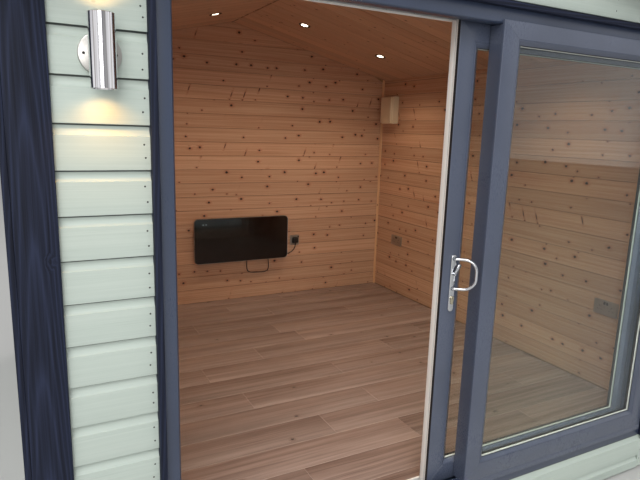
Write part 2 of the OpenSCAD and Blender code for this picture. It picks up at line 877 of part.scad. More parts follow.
base_bearers();
floor_deck();
laminate_floor();
front_wall_left();
front_wall_right();
front_wall_gable();
left_wall();
right_wall();
back_wall();
front_cladding();
gable_cladding();
skirt_cladding();
side_cladding();
back_cladding();
front_lining();
side_linings();
back_lining();
ceiling_lining();
roof_panels();
roof_membrane();
barge_boards();
eaves_fascias();
corner_boards();
door_surround();
door_frame();
door_track();
door_lip();
fixed_sash();
fixed_glass();
sliding_sash();
sliding_glass();
outside_handle();
latch_lever();
key_cylinder();
inside_handle();
light_plates();
light_tubes();
downlights();
heater_panel();
heater_brackets();
heater_cord();
heater_plug();
wall_sockets();
consumer_unit();
corner_beads();
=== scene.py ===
"""Garden office pod, finished round its packed construction.

Sizes are millimetres in the layout's axes: X from the middle of the building, Y back from the face of the
front cladding, Z up from the ground. Skin.build turns them into metres in the frame's axes.
"""

import json
import logging
import math
from collections.abc import Callable
from dataclasses import dataclass
from enum import Enum

import bmesh
import bpy
import numpy as np
from mathutils import Matrix

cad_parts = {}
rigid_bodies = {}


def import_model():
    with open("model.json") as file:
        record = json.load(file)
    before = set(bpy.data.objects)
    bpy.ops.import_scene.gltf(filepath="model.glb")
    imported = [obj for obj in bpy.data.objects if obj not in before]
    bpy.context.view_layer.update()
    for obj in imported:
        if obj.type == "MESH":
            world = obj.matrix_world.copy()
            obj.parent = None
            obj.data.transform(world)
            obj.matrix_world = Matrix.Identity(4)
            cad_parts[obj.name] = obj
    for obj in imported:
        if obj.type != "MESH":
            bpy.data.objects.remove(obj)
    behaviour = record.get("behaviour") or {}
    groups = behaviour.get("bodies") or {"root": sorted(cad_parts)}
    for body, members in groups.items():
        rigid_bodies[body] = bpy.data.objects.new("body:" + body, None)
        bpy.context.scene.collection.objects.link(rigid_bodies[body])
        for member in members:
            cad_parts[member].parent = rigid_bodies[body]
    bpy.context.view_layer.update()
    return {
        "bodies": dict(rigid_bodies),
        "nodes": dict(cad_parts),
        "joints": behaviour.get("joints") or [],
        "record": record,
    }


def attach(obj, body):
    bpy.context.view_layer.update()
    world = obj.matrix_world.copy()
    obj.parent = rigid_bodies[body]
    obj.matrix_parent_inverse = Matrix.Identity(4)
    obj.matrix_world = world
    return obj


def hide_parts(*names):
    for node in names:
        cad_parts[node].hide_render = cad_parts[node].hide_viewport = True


log = logging.getLogger("pod")
Array = np.ndarray
Socket = bpy.types.NodeSocket
Material = bpy.types.Material
Point = tuple[float, float, float]
Colour = tuple[float, float, float, float]

# Directions in the layout: the rear is away from the door's side
RIGHT, REAR, UP = (1, 0, 0), (0, 1, 0), (0, 0, 1)
LEFT, OUT, DOWN = (-1, 0, 0), (0, -1, 0), (0, 0, -1)

# The layout's Y at the frame's origin, the roof's fall for each millimetre across, and the walls' peak
LAYOUT_MIDDLE = 1420.0
SLOPE = 0.2415
WALL_TOP = 2435.3


def paint(red: int, green: int, blue: int) -> Colour:
    """Gives a colour chart's numbers as a linear colour.

    Args:
        red: the chart's red, from 0 to 255.
        green: its green.
        blue: its blue.

    Returns:
        The colour: each number c, as a share of 255, becomes c / 12.92 up to 0.04045 and
        ((c + 0.055) / 1.055)^2.4 above it.
    """
    c = np.array([red, green, blue]) / 255
    linear = np.where(c <= 0.04045, c / 12.92, ((c + 0.055) / 1.055) ** 2.4)
    return (*linear.tolist(), 1.0)


def rounded(corners: list, radius: float | list, steps: int = 3, closed: bool = True) -> Array:
    """Rounds the corners of an outline.

    Each corner becomes an arc about a point on its bisector, radius / sin(half the corner's angle) away. The
    arc's points turn evenly from one tangent point to the other.

    Args:
        corners: the outline's corners, in two or three dimensions.
        radius: one radius, or one for each corner.
        steps: the number of segments in each arc.
        closed: False keeps the first and last corners as plain ends.

    Returns:
        The rounded outline's points, in order.
    """
    p = np.asarray(corners, float)
    back, ahead = np.roll(p, 1, 0) - p, np.roll(p, -1, 0) - p
    back /= np.linalg.norm(back, axis=1)[:, None]
    ahead /= np.linalg.norm(ahead, axis=1)[:, None]
    half = np.arccos(np.clip((back * ahead).sum(1), -0.999999, 0.999999))[:, None] / 2
    r = np.broadcast_to(radius, len(p))[:, None].astype(float)
    middle = back + ahead
    middle /= np.maximum(np.linalg.norm(middle, axis=1), 1e-9)[:, None]
    centre = p + middle * r / np.sin(half)
    first, last = p + back * r / np.tan(half) - centre, p + ahead * r / np.tan(half) - centre
    turn = (math.pi - 2 * half)[:, None]
    t = np.linspace(0, 1, steps + 1)[None, :, None]
    arc = (np.sin((1 - t) * turn) * first[:, None] + np.sin(t * turn) * last[:, None]) / np.sin(turn)
    points = centre[:, None] + arc
    if closed:
        return points.reshape(-1, p.shape[1])
    return np.concatenate([p[:1], points[1:-1].reshape(-1, p.shape[1]), p[-1:]])


def inset(loop: Array, depth: float) -> Array:
    """Moves each point of a closed outline inwards, square to the line between its two neighbours.

    Args:
        loop: the outline's points.
        depth: how far they move.

    Returns:
        The smaller outline.
    """
    run = np.roll(loop, -1, 0) - np.roll(loop, 1, 0)
    area = (loop[:, 0] * np.roll(loop[:, 1], -1) - loop[:, 1] * np.roll(loop[:, 0], -1)).sum()
    inward = np.stack([-run[:, 1], run[:, 0]], 1) * math.copysign(1, area)
    return loop + depth * inward / np.maximum(np.linalg.norm(inward, axis=1), 1e-9)[:, None]


def box_outline(x0: float, x1: float, y0: float, y1: float, radius: float, steps: int = 2) -> Array:
    """Gives a rectangle's outline with round corners."""
    return rounded([[x0, y0], [x1, y0], [x1, y1], [x0, y1]], radius, steps)


@dataclass(frozen=True)
class Axes:
    """A place to lay pieces in: a point is origin + s*along + t*across + d*inward."""

    origin: Point = (0, 0, 0)
    along: Point = (1, 0, 0)
    across: Point = (0, 0, 1)
    inward: Point = (0, 1, 0)

    def points(self, s: Array, t: Array, d: Array) -> Array:
        """Gives points by their distances along the three axes, which are arrays that fit one shape.

        Args:
            s: the distances along.
            t: the distances across.
            d: the distances inward.

        Returns:
            The points.
        """
        s, t, d = np.broadcast_arrays(s, t, d)
        return (
            np.array(self.origin, float)
            + s[..., None] * np.array(self.along, float)
            + t[..., None] * np.array(self.across, float)
            + d[..., None] * np.array(self.inward, float)
        )

    def at(self, s: float, t: float, d: float = 0.0, inward: Point | None = None) -> "Axes":
        """Gives these axes moved to their own point s, t and d, where they may face another way."""
        place = self.points(np.array(float(s)), np.array(float(t)), np.array(float(d)))
        return Axes(tuple(place), self.along, self.across, inward or self.inward)

    def bar(self, section: Array, s0: float | Array, s1: float | Array, ease: float = 1.0) -> Array:
        """Runs a section of t and d along s, with both ends eased by a small chamfer.

        Args:
            section: the closed section, k points of t and d.
            s0: where the bar starts, for all the section or for each point of it.
            s1: where it ends.
            ease: the chamfer at each end.

        Returns:
            Four rings of k points.
        """
        small = inset(section, ease)
        rings = [(s0, small), (s0 + ease, section), (s1 - ease, section), (s1, small)]
        return np.stack([self.points(np.broadcast_to(s, len(q)), q[:, 0], q[:, 1]) for s, q in rings])

    def stack(self, shape: Array, layers: list) -> Array:
        """Stacks copies of an outline: each layer is a depth and how far the outline is drawn in there."""
        rings = [(inset(shape, drawn), d) for d, drawn in layers]
        return np.stack([self.points(r[:, 0], r[:, 1], np.full(len(r), d)) for r, d in rings])

    def pillow(self, shape: Array, d0: float, d1: float, edge: float) -> Array:
        """Raises a plate of the outline shape, s and t, from d0 to d1 with a quarter round at its edge.

        Args:
            shape: the plate's closed outline.
            d0: the depth of its back.
            d1: the depth of its front.
            edge: the radius of its front edge.

        Returns:
            Rings from the back to the front, the last well inside the edge.
        """
        sign = math.copysign(1, d1 - d0)
        a = np.linspace(0, math.pi / 2, 5)
        insets = np.concatenate([[0.0], edge * (1 - np.cos(a)), [edge * 2.2]])
        depths = np.concatenate([[d0], d1 - sign * edge * (1 - np.sin(a)), [d1]])
        return self.stack(shape, list(zip(depths, insets)))

    def lathe(self, profile: list | Array, sides: int = 32) -> Array:
        """Turns a profile round the inward axis, with radius * (cos, sin) in s and t.

        Args:
            profile: points of radius and depth.
            sides: the faces round it.

        Returns:
            A row of points for each step round it, the last the same as the first.
        """
        p = np.asarray(profile, float)
        a = np.linspace(0, 2 * math.pi, sides + 1)[:, None]
        return self.points(np.cos(a) * p[:, 0], np.sin(a) * p[:, 0], np.ones_like(a) * p[:, 1])


def sweep(path: Array, radius: float | Array, flat: Point, sides: int = 16) -> Array:
    """Carries a circle along a path.

    Each ring stands square to the path: one of its axes is the path's direction crossed with flat, and the
    other is square to both.

    Args:
        path: the path's points.
        radius: one radius, or one for each point.
        flat: a direction that the path never runs along.
        sides: the points in each ring.

    Returns:
        One ring of points for each point of the path.
    """
    run = np.gradient(path, axis=0)
    run /= np.linalg.norm(run, axis=1)[:, None]
    side = np.cross(run, np.array(flat, float))
    side /= np.linalg.norm(side, axis=1)[:, None]
    up = np.cross(side, run)
    a = np.linspace(0, 2 * math.pi, sides, endpoint=False)[None, :, None]
    r = np.broadcast_to(radius, len(path))[:, None, None]
    return path[:, None] + r * (np.cos(a) * side[:, None] + np.sin(a) * up[:, None])


def run_along(path: Array) -> Array:
    """Gives the distance of each of a path's points from its start, measured along it."""
    return np.concatenate([[0], np.linalg.norm(np.diff(path, axis=0), axis=1).cumsum()])


def resample(path: Array, at: Array) -> Array:
    """Gives the points of a path at the distances at, measured along it."""
    steps = run_along(path)
    return np.stack([np.interp(at, steps, path[:, i]) for i in range(3)], 1)


def smooth_route(points: Array, spacing: float) -> Array:
    """Draws a smooth curve through points, in cubic pieces.

    The slope at a point is half the step between its two neighbours.

    Args:
        points: the points.
        spacing: the rough distance between the curve's points on its longest piece.

    Returns:
        The curve's points.
    """
    p = np.concatenate([[2 * points[0] - points[1]], points, [2 * points[-1] - points[-2]]])
    count = max(2, round(float(np.linalg.norm(np.diff(points, axis=0), axis=1).max()) / spacing))
    t = np.linspace(0, 1, count, endpoint=False)[None, :, None]
    a, b, c, d = (q[:, None] for q in (p[:-3], p[1:-2], p[2:-1], p[3:]))
    curve = 0.5 * (2 * b + (c - a) * t + (2 * a - 5 * b + 4 * c - d) * t**2 + (3 * b - a - 3 * c + d) * t**3)
    return np.concatenate([curve.reshape(-1, 3), points[-1:]])


def mitred_ring(box: tuple, loops: tuple, groove: float = 0.9, pinch: float = 0.5) -> Array:
    """Carries a section round a rectangle of X and Z with mitred corners and a fine groove at each joint.

    A point of the section lies its own distance inside each side, so a corner is (x0 + left, z0 + foot).
    Each corner has three rings: one a groove's half width before it, one drawn in at it, and one after it.

    Args:
        box: x0, x1, z0 and z1 of the outer edge.
        loops: the sections of the left, right, foot and head, points of distance inside the edge and Y.
        groove: half the width of the joint's groove.
        pinch: its depth.

    Returns:
        Thirteen rings, the last the same as the first.
    """
    x0, x1, z0, z1 = box
    left, right, foot, head = loops
    rings = []
    for upright, level, at_left, at_foot, before, after in (
        (left, foot, True, True, (0, 1), (1, 0)),
        (right, foot, False, True, (-1, 0), (0, 1)),
        (right, head, False, False, (0, -1), (-1, 0)),
        (left, head, True, False, (1, 0), (0, -1)),
    ):
        for step in (before, (0, 0), after):
            draw = pinch if step == (0, 0) else 0.0
            a, b = inset(upright, draw), inset(level, draw)
            px = x0 + a[:, 0] if at_left else x1 - a[:, 0]
            pz = z0 + b[:, 0] if at_foot else z1 - b[:, 0]
            depth = (a[:, 1] + b[:, 1]) / 2 if step == (0, 0) else b[:, 1] if step[0] else a[:, 1]
            rings.append(np.stack([px + groove * step[0], depth, pz + groove * step[1]], 1))
    return np.stack([*rings, rings[0]])


class Skin:
    """One piece in the making: grids of points in layout millimetres.

    Each grid has a texture chart in metres, a number for its board and an edge mark, which picks the bevels
    and recesses where some finishes paint shade.
    """

    def __init__(self) -> None:
        """Starts with no surface."""
        self.sheets: list[tuple] = []

    def sheet(
        self,
        points: Array,
        chart: Array | None = None,
        board: float = 0.5,
        edge: float | Array = 0.0,
        slots: int | Array = 0,
    ) -> "Skin":
        """Adds one surface.

        Args:
            points: an m by n grid of points.
            chart: its texture map. Left out, it is the mean distance run along each way of the grid.
            board: the number of the board it belongs to, from 0 to 1.
            edge: how much each point is a bevelled edge, from 0 to 1.
            slots: the material of each face of the grid.

        Returns:
            The skin itself.
        """
        p = np.asarray(points, float)
        if chart is None:
            u = np.concatenate([[0], np.linalg.norm(np.diff(p, axis=0), axis=2).mean(1).cumsum()])
            v = np.concatenate([[0], np.linalg.norm(np.diff(p, axis=1), axis=2).max(0).cumsum()])
            chart = np.stack(np.meshgrid(u, v, indexing="ij"), -1)
        m, n = p.shape[:2]
        self.sheets.append(
            (
                p,
                chart / 1000,
                np.broadcast_to(board, (m, n)),
                np.broadcast_to(edge, (m, n)),
                np.broadcast_to(slots, (m - 1, n - 1)),
            )
        )
        return self

    def tube(
        self,
        rings: Array,
        chart: Array | None = None,
        caps: bool = True,
        board: float = 0.5,
        edge: float | Array = 0.0,
        slots: int | Array = 0,
    ) -> "Skin":
        """Adds rings of points as a closed tube.

        Args:
            rings: m rings of k points, none repeated.
            chart: the texture map of the m by k + 1 grid.
            caps: closes both ends with fans about the ends' middles.
            board: the number of the board it belongs to.
            edge: the edge mark, for all or for each of the k + 1 points round it.
            slots: the material, for all or for each of the k faces round it.

        Returns:
            The skin itself.
        """
        closed = np.concatenate([rings, rings[:, :1]], 1)
        self.sheet(closed, chart, board, edge, slots)
        for ring in (closed[0], closed[-1]) if caps else ():
            fan = np.stack([ring, np.broadcast_to(ring[:-1].mean(0), ring.shape)])
            self.sheet(fan, None, board, 0.0, slots)
        return self

    def build(
        self,
        name: str,
        *materials: Material,
        body: str = "pod",
        replaces: tuple[str, ...] = (),
        slot: str | None = None,
        sharp: float = 32.0,
    ) -> bpy.types.Object:
        """Makes the piece: its sheets become one mesh, welded at the seams, with its faces turned outwards.

        Args:
            name: the piece's name.
            materials: its materials, in the order of the sheets' slots.
            body: the moving body that it rides on.
            replaces: the construction nodes that it stands for.
            slot: not used.
            sharp: the angle past which an edge is drawn sharp.

        Returns:
            The new object.
        """
        points, faces, charts, boards, edges, slots, start = [], [], [], [], [], [], 0
        for p, chart, board, edge, kind in self.sheets:
            m, n = p.shape[:2]
            i = start + np.arange(m * n).reshape(m, n)
            faces.append(np.stack([i[:-1, :-1], i[1:, :-1], i[1:, 1:], i[:-1, 1:]], -1).reshape(-1, 4))
            points.append(p.reshape(-1, 3))
            charts.append(np.broadcast_to(chart, (m, n, 2)).reshape(-1, 2))
            boards.append(board.ravel())
            edges.append(edge.ravel())
            slots.append(kind.ravel())
            start += m * n
        place = (np.concatenate(points) - [0, LAYOUT_MIDDLE, 0]) / 1000
        quads = np.concatenate(faces)
        mesh = bpy.data.meshes.new(name)
        mesh.from_pydata(place, [], quads)
        chart_layer = mesh.uv_layers.new(name="Chart")
        chart_layer.data.foreach_set("uv", np.concatenate(charts)[quads.ravel()].ravel())
        for label, values in (("board", boards), ("edge", edges)):
            layer = mesh.attributes.new(label, "FLOAT", "POINT")
            layer.data.foreach_set("value", np.concatenate(values).astype(np.float32))
        mesh.polygons.foreach_set("material_index", np.concatenate(slots).astype(np.int32))
        work = bmesh.new()
        work.from_mesh(mesh)
        bmesh.ops.remove_doubles(work, verts=work.verts, dist=2e-6)
        bmesh.ops.dissolve_degenerate(work, edges=work.edges, dist=1e-7)
        bmesh.ops.recalc_face_normals(work, faces=work.faces)
        work.to_mesh(mesh)
        work.free()
        mesh.polygons.foreach_set("use_smooth", np.ones(len(mesh.polygons), bool))
        mesh.set_sharp_from_angle(angle=math.radians(sharp))
        for material in materials:
            mesh.materials.append(material)
        piece = bpy.data.objects.new(name, mesh)
        bpy.context.scene.collection.objects.link(piece)
        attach(piece, body)
        if replaces:
            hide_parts(*replaces)
        log.info("%s: %d faces on %s", name, len(mesh.polygons), body)
        return piece


class Grain(Enum):
    """Which way a pattern runs: along the piece's own chart, or along an axis of the building."""

    CHART = "chart"
    ALONG_X = (0.0, 0.0, 0.0)
    ALONG_Y = (0.0, 0.0, -math.pi / 2)
    ALONG_Z = (0.0, math.pi / 2, 0.0)


def add_node(
    tree: bpy.types.NodeTree, kind: str, inputs: dict | None = None, **settings: object
) -> bpy.types.Node:
    """Adds a node to the tree of a material or of the world.

    Args:
        tree: the tree.
        kind: the node's type, without its ShaderNode prefix.
        inputs: a socket or a plain value for each input, by name or by number.
        settings: the node's own settings.

    Returns:
        The node.
    """
    made = tree.nodes.new("ShaderNode" + kind)
    for key, value in settings.items():
        setattr(made, key, value)
    for key, value in (inputs or {}).items():
        if isinstance(value, Socket):
            tree.links.new(value, made.inputs[key])
        else:
            made.inputs[key].default_value = value
    return made


class Graph:
    """A material's nodes, with short calls that add a node and give its socket."""

    def __init__(self, name: str) -> None:
        """Starts an empty material.

        Args:
            name: the material's name.
        """
        self.material = bpy.data.materials.new(name)
        self.material.use_nodes = True
        self.tree = self.material.node_tree
        self.tree.nodes.clear()
        self.output = self.tree.nodes.new("ShaderNodeOutputMaterial")

    def node(self, kind: str, inputs: dict | None = None, **settings: object) -> bpy.types.Node:
        """Adds a node to the material, as add_node does."""
        return add_node(self.tree, kind, inputs, **settings)

    def math(self, kind: str, a: object, b: object = 0.0, c: object = 0.0, clamp: bool = False) -> Socket:
        """Works out one sum on plain numbers or sockets."""
        return self.node("Math", {0: a, 1: b, 2: c}, operation=kind, use_clamp=clamp).outputs[0]

    def times(self, a: object, b: object) -> Socket:
        """Multiplies two numbers or sockets."""
        return self.math("MULTIPLY", a, b)

    def plus(self, a: object, b: object) -> Socket:
        """Adds two numbers or sockets."""
        return self.math("ADD", a, b)

    def minus(self, a: object, b: object) -> Socket:
        """Takes b from a."""
        return self.math("SUBTRACT", a, b)

    def fade(
        self, value: object, low: float, high: float, to_low: float = 0.0, to_high: float = 1.0
    ) -> Socket:
        """Moves value smoothly from to_low at low to to_high at high."""
        inputs = {"Value": value, "From Min": low, "From Max": high, "To Min": to_low, "To Max": to_high}
        return self.node("MapRange", inputs, interpolation_type="SMOOTHSTEP").outputs[0]

    def mix(self, factor: object, a: object, b: object, blend: str = "MIX") -> Socket:
        """Mixes two colours."""
        return self.node("Mix", {0: factor, 6: a, 7: b}, data_type="RGBA", blend_type=blend).outputs[2]

    def join(self, x: object, y: object = 0.0, z: object = 0.0) -> Socket:
        """Joins three numbers into a vector."""
        return self.node("CombineXYZ", {0: x, 1: y, 2: z}).outputs[0]

    def mark(self, name: str) -> Socket:
        """Reads the piece's own mark called name, board or edge."""
        return self.node("Attribute", attribute_name=name).outputs["Fac"]

    def noise(self, at: Socket, scale: Point, detail: float = 3, rough: float = 0.5) -> Socket:
        """Makes smooth noise.

        Args:
            at: the place.
            scale: its cells in a metre along each axis.
            detail: the number of finer layers in it.
            rough: how strong the finer layers are.

        Returns:
            The noise, from 0 to 1.
        """
        moved = self.node("Mapping", {"Vector": at, "Scale": scale}).outputs[0]
        inputs = {"Vector": moved, "Scale": 1.0, "Detail": detail, "Roughness": rough}
        return self.node("TexNoise", inputs).outputs[0]

    def place(self, grain: Grain, board: bool = True) -> Socket:
        """Gives the pattern's place in metres, X along the grain, moved far away for each board.

        Args:
            grain: which way the grain runs.
            board: whether each board's own number moves the pattern.

        Returns:
            The vector's socket.
        """
        source = self.node("TexCoord").outputs["UV" if grain is Grain.CHART else "Object"]
        if grain is not Grain.CHART:
            source = self.node("Mapping", {"Vector": source, "Rotation": grain.value}).outputs[0]
        if not board:
            return source
        number = self.mark("board")
        far = self.join(self.times(number, 173.0), z=self.times(number, 91.0))
        return self.node("VectorMath", {0: source, 1: far}, operation="ADD").outputs[0]

    def knots(self, at: Socket, cells: Point, size: tuple, share: float) -> tuple:
        """Places knots at random: each cell of the pattern may hold one, of its own size.

        Args:
            at: the place.
            cells: cells in a metre along each axis, which also stretch the knot.
            size: the smallest and largest radius, in cells.
            share: the share of the cells that hold a knot.

        Returns:
            The knot itself and the wide ring round it, each from 0 to 1.
        """
        moved = self.node("Mapping", {"Vector": at, "Scale": cells}).outputs[0]
        voronoi = {"Vector": moved, "Scale": 1.0, "Randomness": 0.9}
        cell = self.node("TexVoronoi", voronoi, voronoi_dimensions="2D")
        shade = self.node("SeparateColor", {0: cell.outputs["Color"]})
        wobble = self.fade(self.noise(moved, (14, 14, 14), 2), 0.2, 0.8, 0.75, 1.3)
        radius = self.times(self.fade(shade.outputs[1], 0, 1, *size), wobble)
        far = self.math("DIVIDE", cell.outputs["Distance"], radius)
        held = self.math("LESS_THAN", shade.outputs[0], share)
        core = self.times(self.fade(far, 0.7, 1.15, 1, 0), held)
        ring = self.times(self.fade(far, 0.9, 4.0, 1, 0), held)
        return core, ring

    def bend(self, at: Socket, ring: Socket, cells: Point, wander: float, swell: float) -> tuple:
        """Bends straight grain: it wanders from side to side by smooth noise, and swells round the knots.

        Args:
            at: the place.
            ring: the wide rings round the knots.
            cells: the cells of the wandering in a metre.
            wander: how far it wanders, in metres.
            swell: how far a knot pushes it aside, in metres.

        Returns:
            The distance along the grain, the bent distance across it, and the whole bent place.
        """
        parts = self.node("SeparateXYZ", {0: at}).outputs
        drift = self.times(self.noise(at, cells, 2), wander)
        across = self.plus(parts[1], self.plus(drift, self.times(ring, swell)))
        return parts[0], across, self.join(parts[0], across, parts[2])

    def arches(self, along: Socket, off: Socket, flow: Socket, shape: tuple, power: float) -> Socket:
        """Draws a flat sawn board's arches: bands of steep * off^2 + run * along + stir * noise.

        Args:
            along: the distance along the grain.
            off: the distance from the arches' middle.
            flow: the bent place, which the noise is read at.
            shape: steep, run, the noise's cells across the grain in a metre, and stir.
            power: how thin the dark bands are.

        Returns:
            The bands, from 0 to 1.
        """
        steep, run, cells, stir = shape
        dome = self.times(self.times(off, off), steep)
        stirred = self.times(self.noise(flow, (2, cells, 1), 2), stir)
        phase = self.plus(dome, self.math("MULTIPLY_ADD", along, run, stirred))
        return self.math("POWER", self.math("PINGPONG", phase, 1.0), power)

    def bump(
        self, height: Socket, distance: float, strength: float = 1.0, after: Socket | None = None
    ) -> Socket:
        """Bends the surface's normal.

        Args:
            height: the relief's height, from 0 to 1.
            distance: what a height of 1 stands for, in metres.
            strength: the share of it that is used.
            after: the normal that it adds to, if there is one.

        Returns:
            The bent normal.
        """
        inputs = {"Height": height, "Distance": distance, "Strength": strength}
        if after is not None:
            inputs["Normal"] = after
        return self.node("Bump", inputs).outputs[0]

    def surface(self, inputs: dict, lets_light_through: bool = False) -> Material:
        """Ends the material with a Principled shader.

        Args:
            inputs: its sockets or plain values, by name.
            lets_light_through: True lets light from lamps pass, as clear glass does.

        Returns:
            The material.
        """
        shader = self.node("BsdfPrincipled", inputs).outputs[0]
        if lets_light_through:
            clear = self.node("BsdfTransparent", {"Color": (0.93, 0.96, 0.95, 1.0)}).outputs[0]
            lamp = self.node("LightPath").outputs["Is Shadow Ray"]
            shader = self.node("MixShader", {0: lamp, 1: shader, 2: clear}).outputs[0]
        self.tree.links.new(shader, self.output.inputs["Surface"])
        return self.material


@dataclass(frozen=True)
class Timber:
    """Bare or printed wood: streaks and arches along the grain, knots, and a tone for each board.

    Sizes are metres. knots is the share of cells with a round knot, spikes the strength of the long ones,
    streak the dark streaks in a metre, and spread how far one board's tone lies from another's.
    """

    name: str
    pale: Colour
    deep: Colour
    knot: Colour
    grain: Grain = Grain.CHART
    knots: float = 0.4
    knot_size: tuple[float, float] = (0.0035, 0.0065)
    spikes: float = 0.0
    streak: float = 60.0
    arch: float = 0.35
    contrast: float = 1.0
    spread: float = 0.25
    red: Colour = (0.3, 0.12, 0.06, 1.0)
    # edge is the colour of the points marked edge: painted shade in the pine linings' grooves and ends, a
    # paler tone on the laminate's bevels
    edge: Colour | None = None
    roughness: float = 0.5
    relief: float = 0.0002

    def knotting(self, g: Graph, at: Socket, lot: Socket) -> tuple:
        """Places the round knots and, on about a third of the boards, long spike knots that lean.

        Args:
            g: the material's nodes.
            at: the place.
            lot: the board's random number that picks the ones with spikes.

        Returns:
            The knots and the wide rings round them.
        """
        small, large = self.knot_size
        core, ring = g.knots(at, (8.0, 10.5, 1), (small * 9, large * 9), self.knots)
        if not self.spikes:
            return core, ring
        slip = g.join(g.times(g.node("SeparateXYZ", {0: at}).outputs[1], -0.35))
        lean = g.node("VectorMath", {0: at, 1: slip}, operation="ADD").outputs[0]
        chance = g.times(g.fade(lot, 0.66, 0.68), self.spikes)
        spike, halo = g.knots(lean, (8, 1.5, 1), (0.03, 0.05), 0.7)
        return g.math("MAXIMUM", core, g.times(spike, chance)), g.math("MAXIMUM", ring, g.times(halo, chance))

    def make(self) -> Material:
        """Makes the material.

        Returns:
            The material, whose colour mixes pale and deep by streaks, arches and fine fibres, darkens round
            the knots and shifts from board to board.
        """
        g = Graph(self.name)
        at = g.place(self.grain)
        lot = g.node("TexWhiteNoise", {"W": g.mark("board")}, noise_dimensions="1D")
        lots = g.node("SeparateColor", {0: lot.outputs["Color"]}).outputs
        core, ring = self.knotting(g, at, lots[0])
        along, across, flow = g.bend(at, ring, (1.2, 7, 1), 0.02, 0.010)
        streaks = g.noise(flow, (0.9, self.streak, 1), 4, 0.62)
        fibres = g.noise(flow, (9, self.streak * 6, 1), 2, 0.6)
        off = g.minus(across, g.fade(lots[1], 0, 1, 0.035, 0.085))
        bands = g.arches(along, off, flow, (2600, 2.3, 16, 2.4), 2.2)
        arches = g.times(bands, g.times(g.fade(lots[2], 0.25, 0.75), self.arch))
        tone = g.plus(g.fade(streaks, 0.3, 0.72), g.times(g.minus(fibres, 0.5), 0.5))
        tone = g.math("MULTIPLY", g.plus(tone, arches), self.contrast, clamp=True)
        colour = g.mix(tone, self.pale, self.deep)
        warm = g.fade(g.noise(flow, (0.7, 9, 1), 2), 0.45, 0.8)
        blush = g.times(warm, g.fade(lots[1], 0.3, 1.0, 0.1, 0.8))
        colour = g.mix(g.times(blush, 0.55), colour, self.red)
        colour = g.mix(g.times(g.math("POWER", ring, 2.0), 0.55), colour, self.red)
        colour = g.mix(g.times(core, 0.97), colour, self.knot)
        level = g.fade(lots[0], 0, 1, 1 - self.spread, 1 + self.spread * 0.35)
        colour = g.mix(1.0, colour, g.join(level, level, level), "MULTIPLY")
        # Painted shade: on the pine linings the grooves' bevels and the boards' ends darken to the edge
        # colour; the laminate's bevels take a paler edge colour
        if self.edge:
            colour = g.mix(g.times(g.mark("edge"), 0.85), colour, self.edge)
        relief = g.minus(g.times(fibres, 0.7), g.times(core, 0.4))
        rough = g.fade(tone, 0, 1, self.roughness - 0.06, self.roughness + 0.08)
        normal = g.bump(relief, self.relief, 0.7)
        return g.surface({"Base Color": colour, "Roughness": rough, "Normal": normal})


@dataclass(frozen=True)
class PaintedTimber:
    """Brushed paint over softwood: its grain, knots and brush marks stand through a thin coat."""

    name: str
    colour: Colour
    shadow: Colour
    light: Colour
    knots: float = 0.12
    streaks: float = 0.35
    relief: float = 0.0004
    roughness: float = 0.5
    dust: float = 0.2
    gloss: float = 0.5
    arch: float = 0.0
    # seam_shade: painted shade, a near-black colour for the points marked edge, where the recess under each
    # board's lower edge falls in shade
    seam_shade: Colour | None = None

    def make(self) -> Material:
        """Makes the material.

        Returns:
            The material, whose coat thins to light on raised fibres and pools to shadow between them.
        """
        g = Graph(self.name)
        at = g.place(Grain.CHART)
        core, ring = g.knots(at, (6, 9, 1), (0.015, 0.045), self.knots)
        along, across, flow = g.bend(at, ring, (1.5, 9, 1), 0.014, 0.012)
        coarse = g.noise(flow, (1.1, 130, 1), 4, 0.6)
        fine = g.noise(flow, (5, 620, 1), 3, 0.65)
        brush = g.noise(at, (3, 300, 1), 3, 0.7)
        cracks = g.fade(g.noise(flow, (2.2, 210, 1), 3, 0.6), 0.68, 0.76)
        grain = g.plus(g.times(coarse, 0.6), g.times(fine, 0.4))
        tone = g.times(g.fade(grain, 0.38, 0.66), self.streaks)
        if self.arch:
            bands = g.arches(along, g.minus(across, 0.05), flow, (2200, 7.0, 14, 2.2), 2.5)
            tone = g.math("MULTIPLY_ADD", bands, self.arch, tone, clamp=True)
        colour = g.mix(tone, self.colour, self.light)
        low = g.times(g.fade(brush, 0.55, 0.8), self.streaks)
        colour = g.mix(g.times(low, 0.6), colour, self.shadow)
        dark = g.math("MAXIMUM", g.times(core, 0.7), g.times(cracks, 0.4))
        colour = g.mix(g.times(dark, 0.6), colour, self.shadow)
        cloud = g.noise(g.place(Grain.ALONG_X, False), (2.5, 2.5, 2.5), 4, 0.6)
        dust = g.times(g.fade(cloud, 0.4, 0.75), self.dust)
        colour = g.mix(dust, colour, g.mix(0.5, self.shadow, self.light))
        # Painted shade: the points marked edge, in the recess under each board's lower edge, darken to the
        # seam_shade colour
        if self.seam_shade:
            colour = g.mix(g.times(g.mark("edge"), 0.9), colour, self.seam_shade)
        raised = g.plus(g.times(coarse, 0.55), g.times(fine, 0.35))
        height = g.minus(raised, g.times(cracks, 0.5))
        rough = g.fade(fine, 0.2, 0.8, self.roughness - 0.08, self.roughness + 0.1)
        inputs = {"Base Color": colour, "Roughness": rough, "Normal": g.bump(height, self.relief, 0.8)}
        return g.surface({**inputs, "Specular IOR Level": self.gloss})


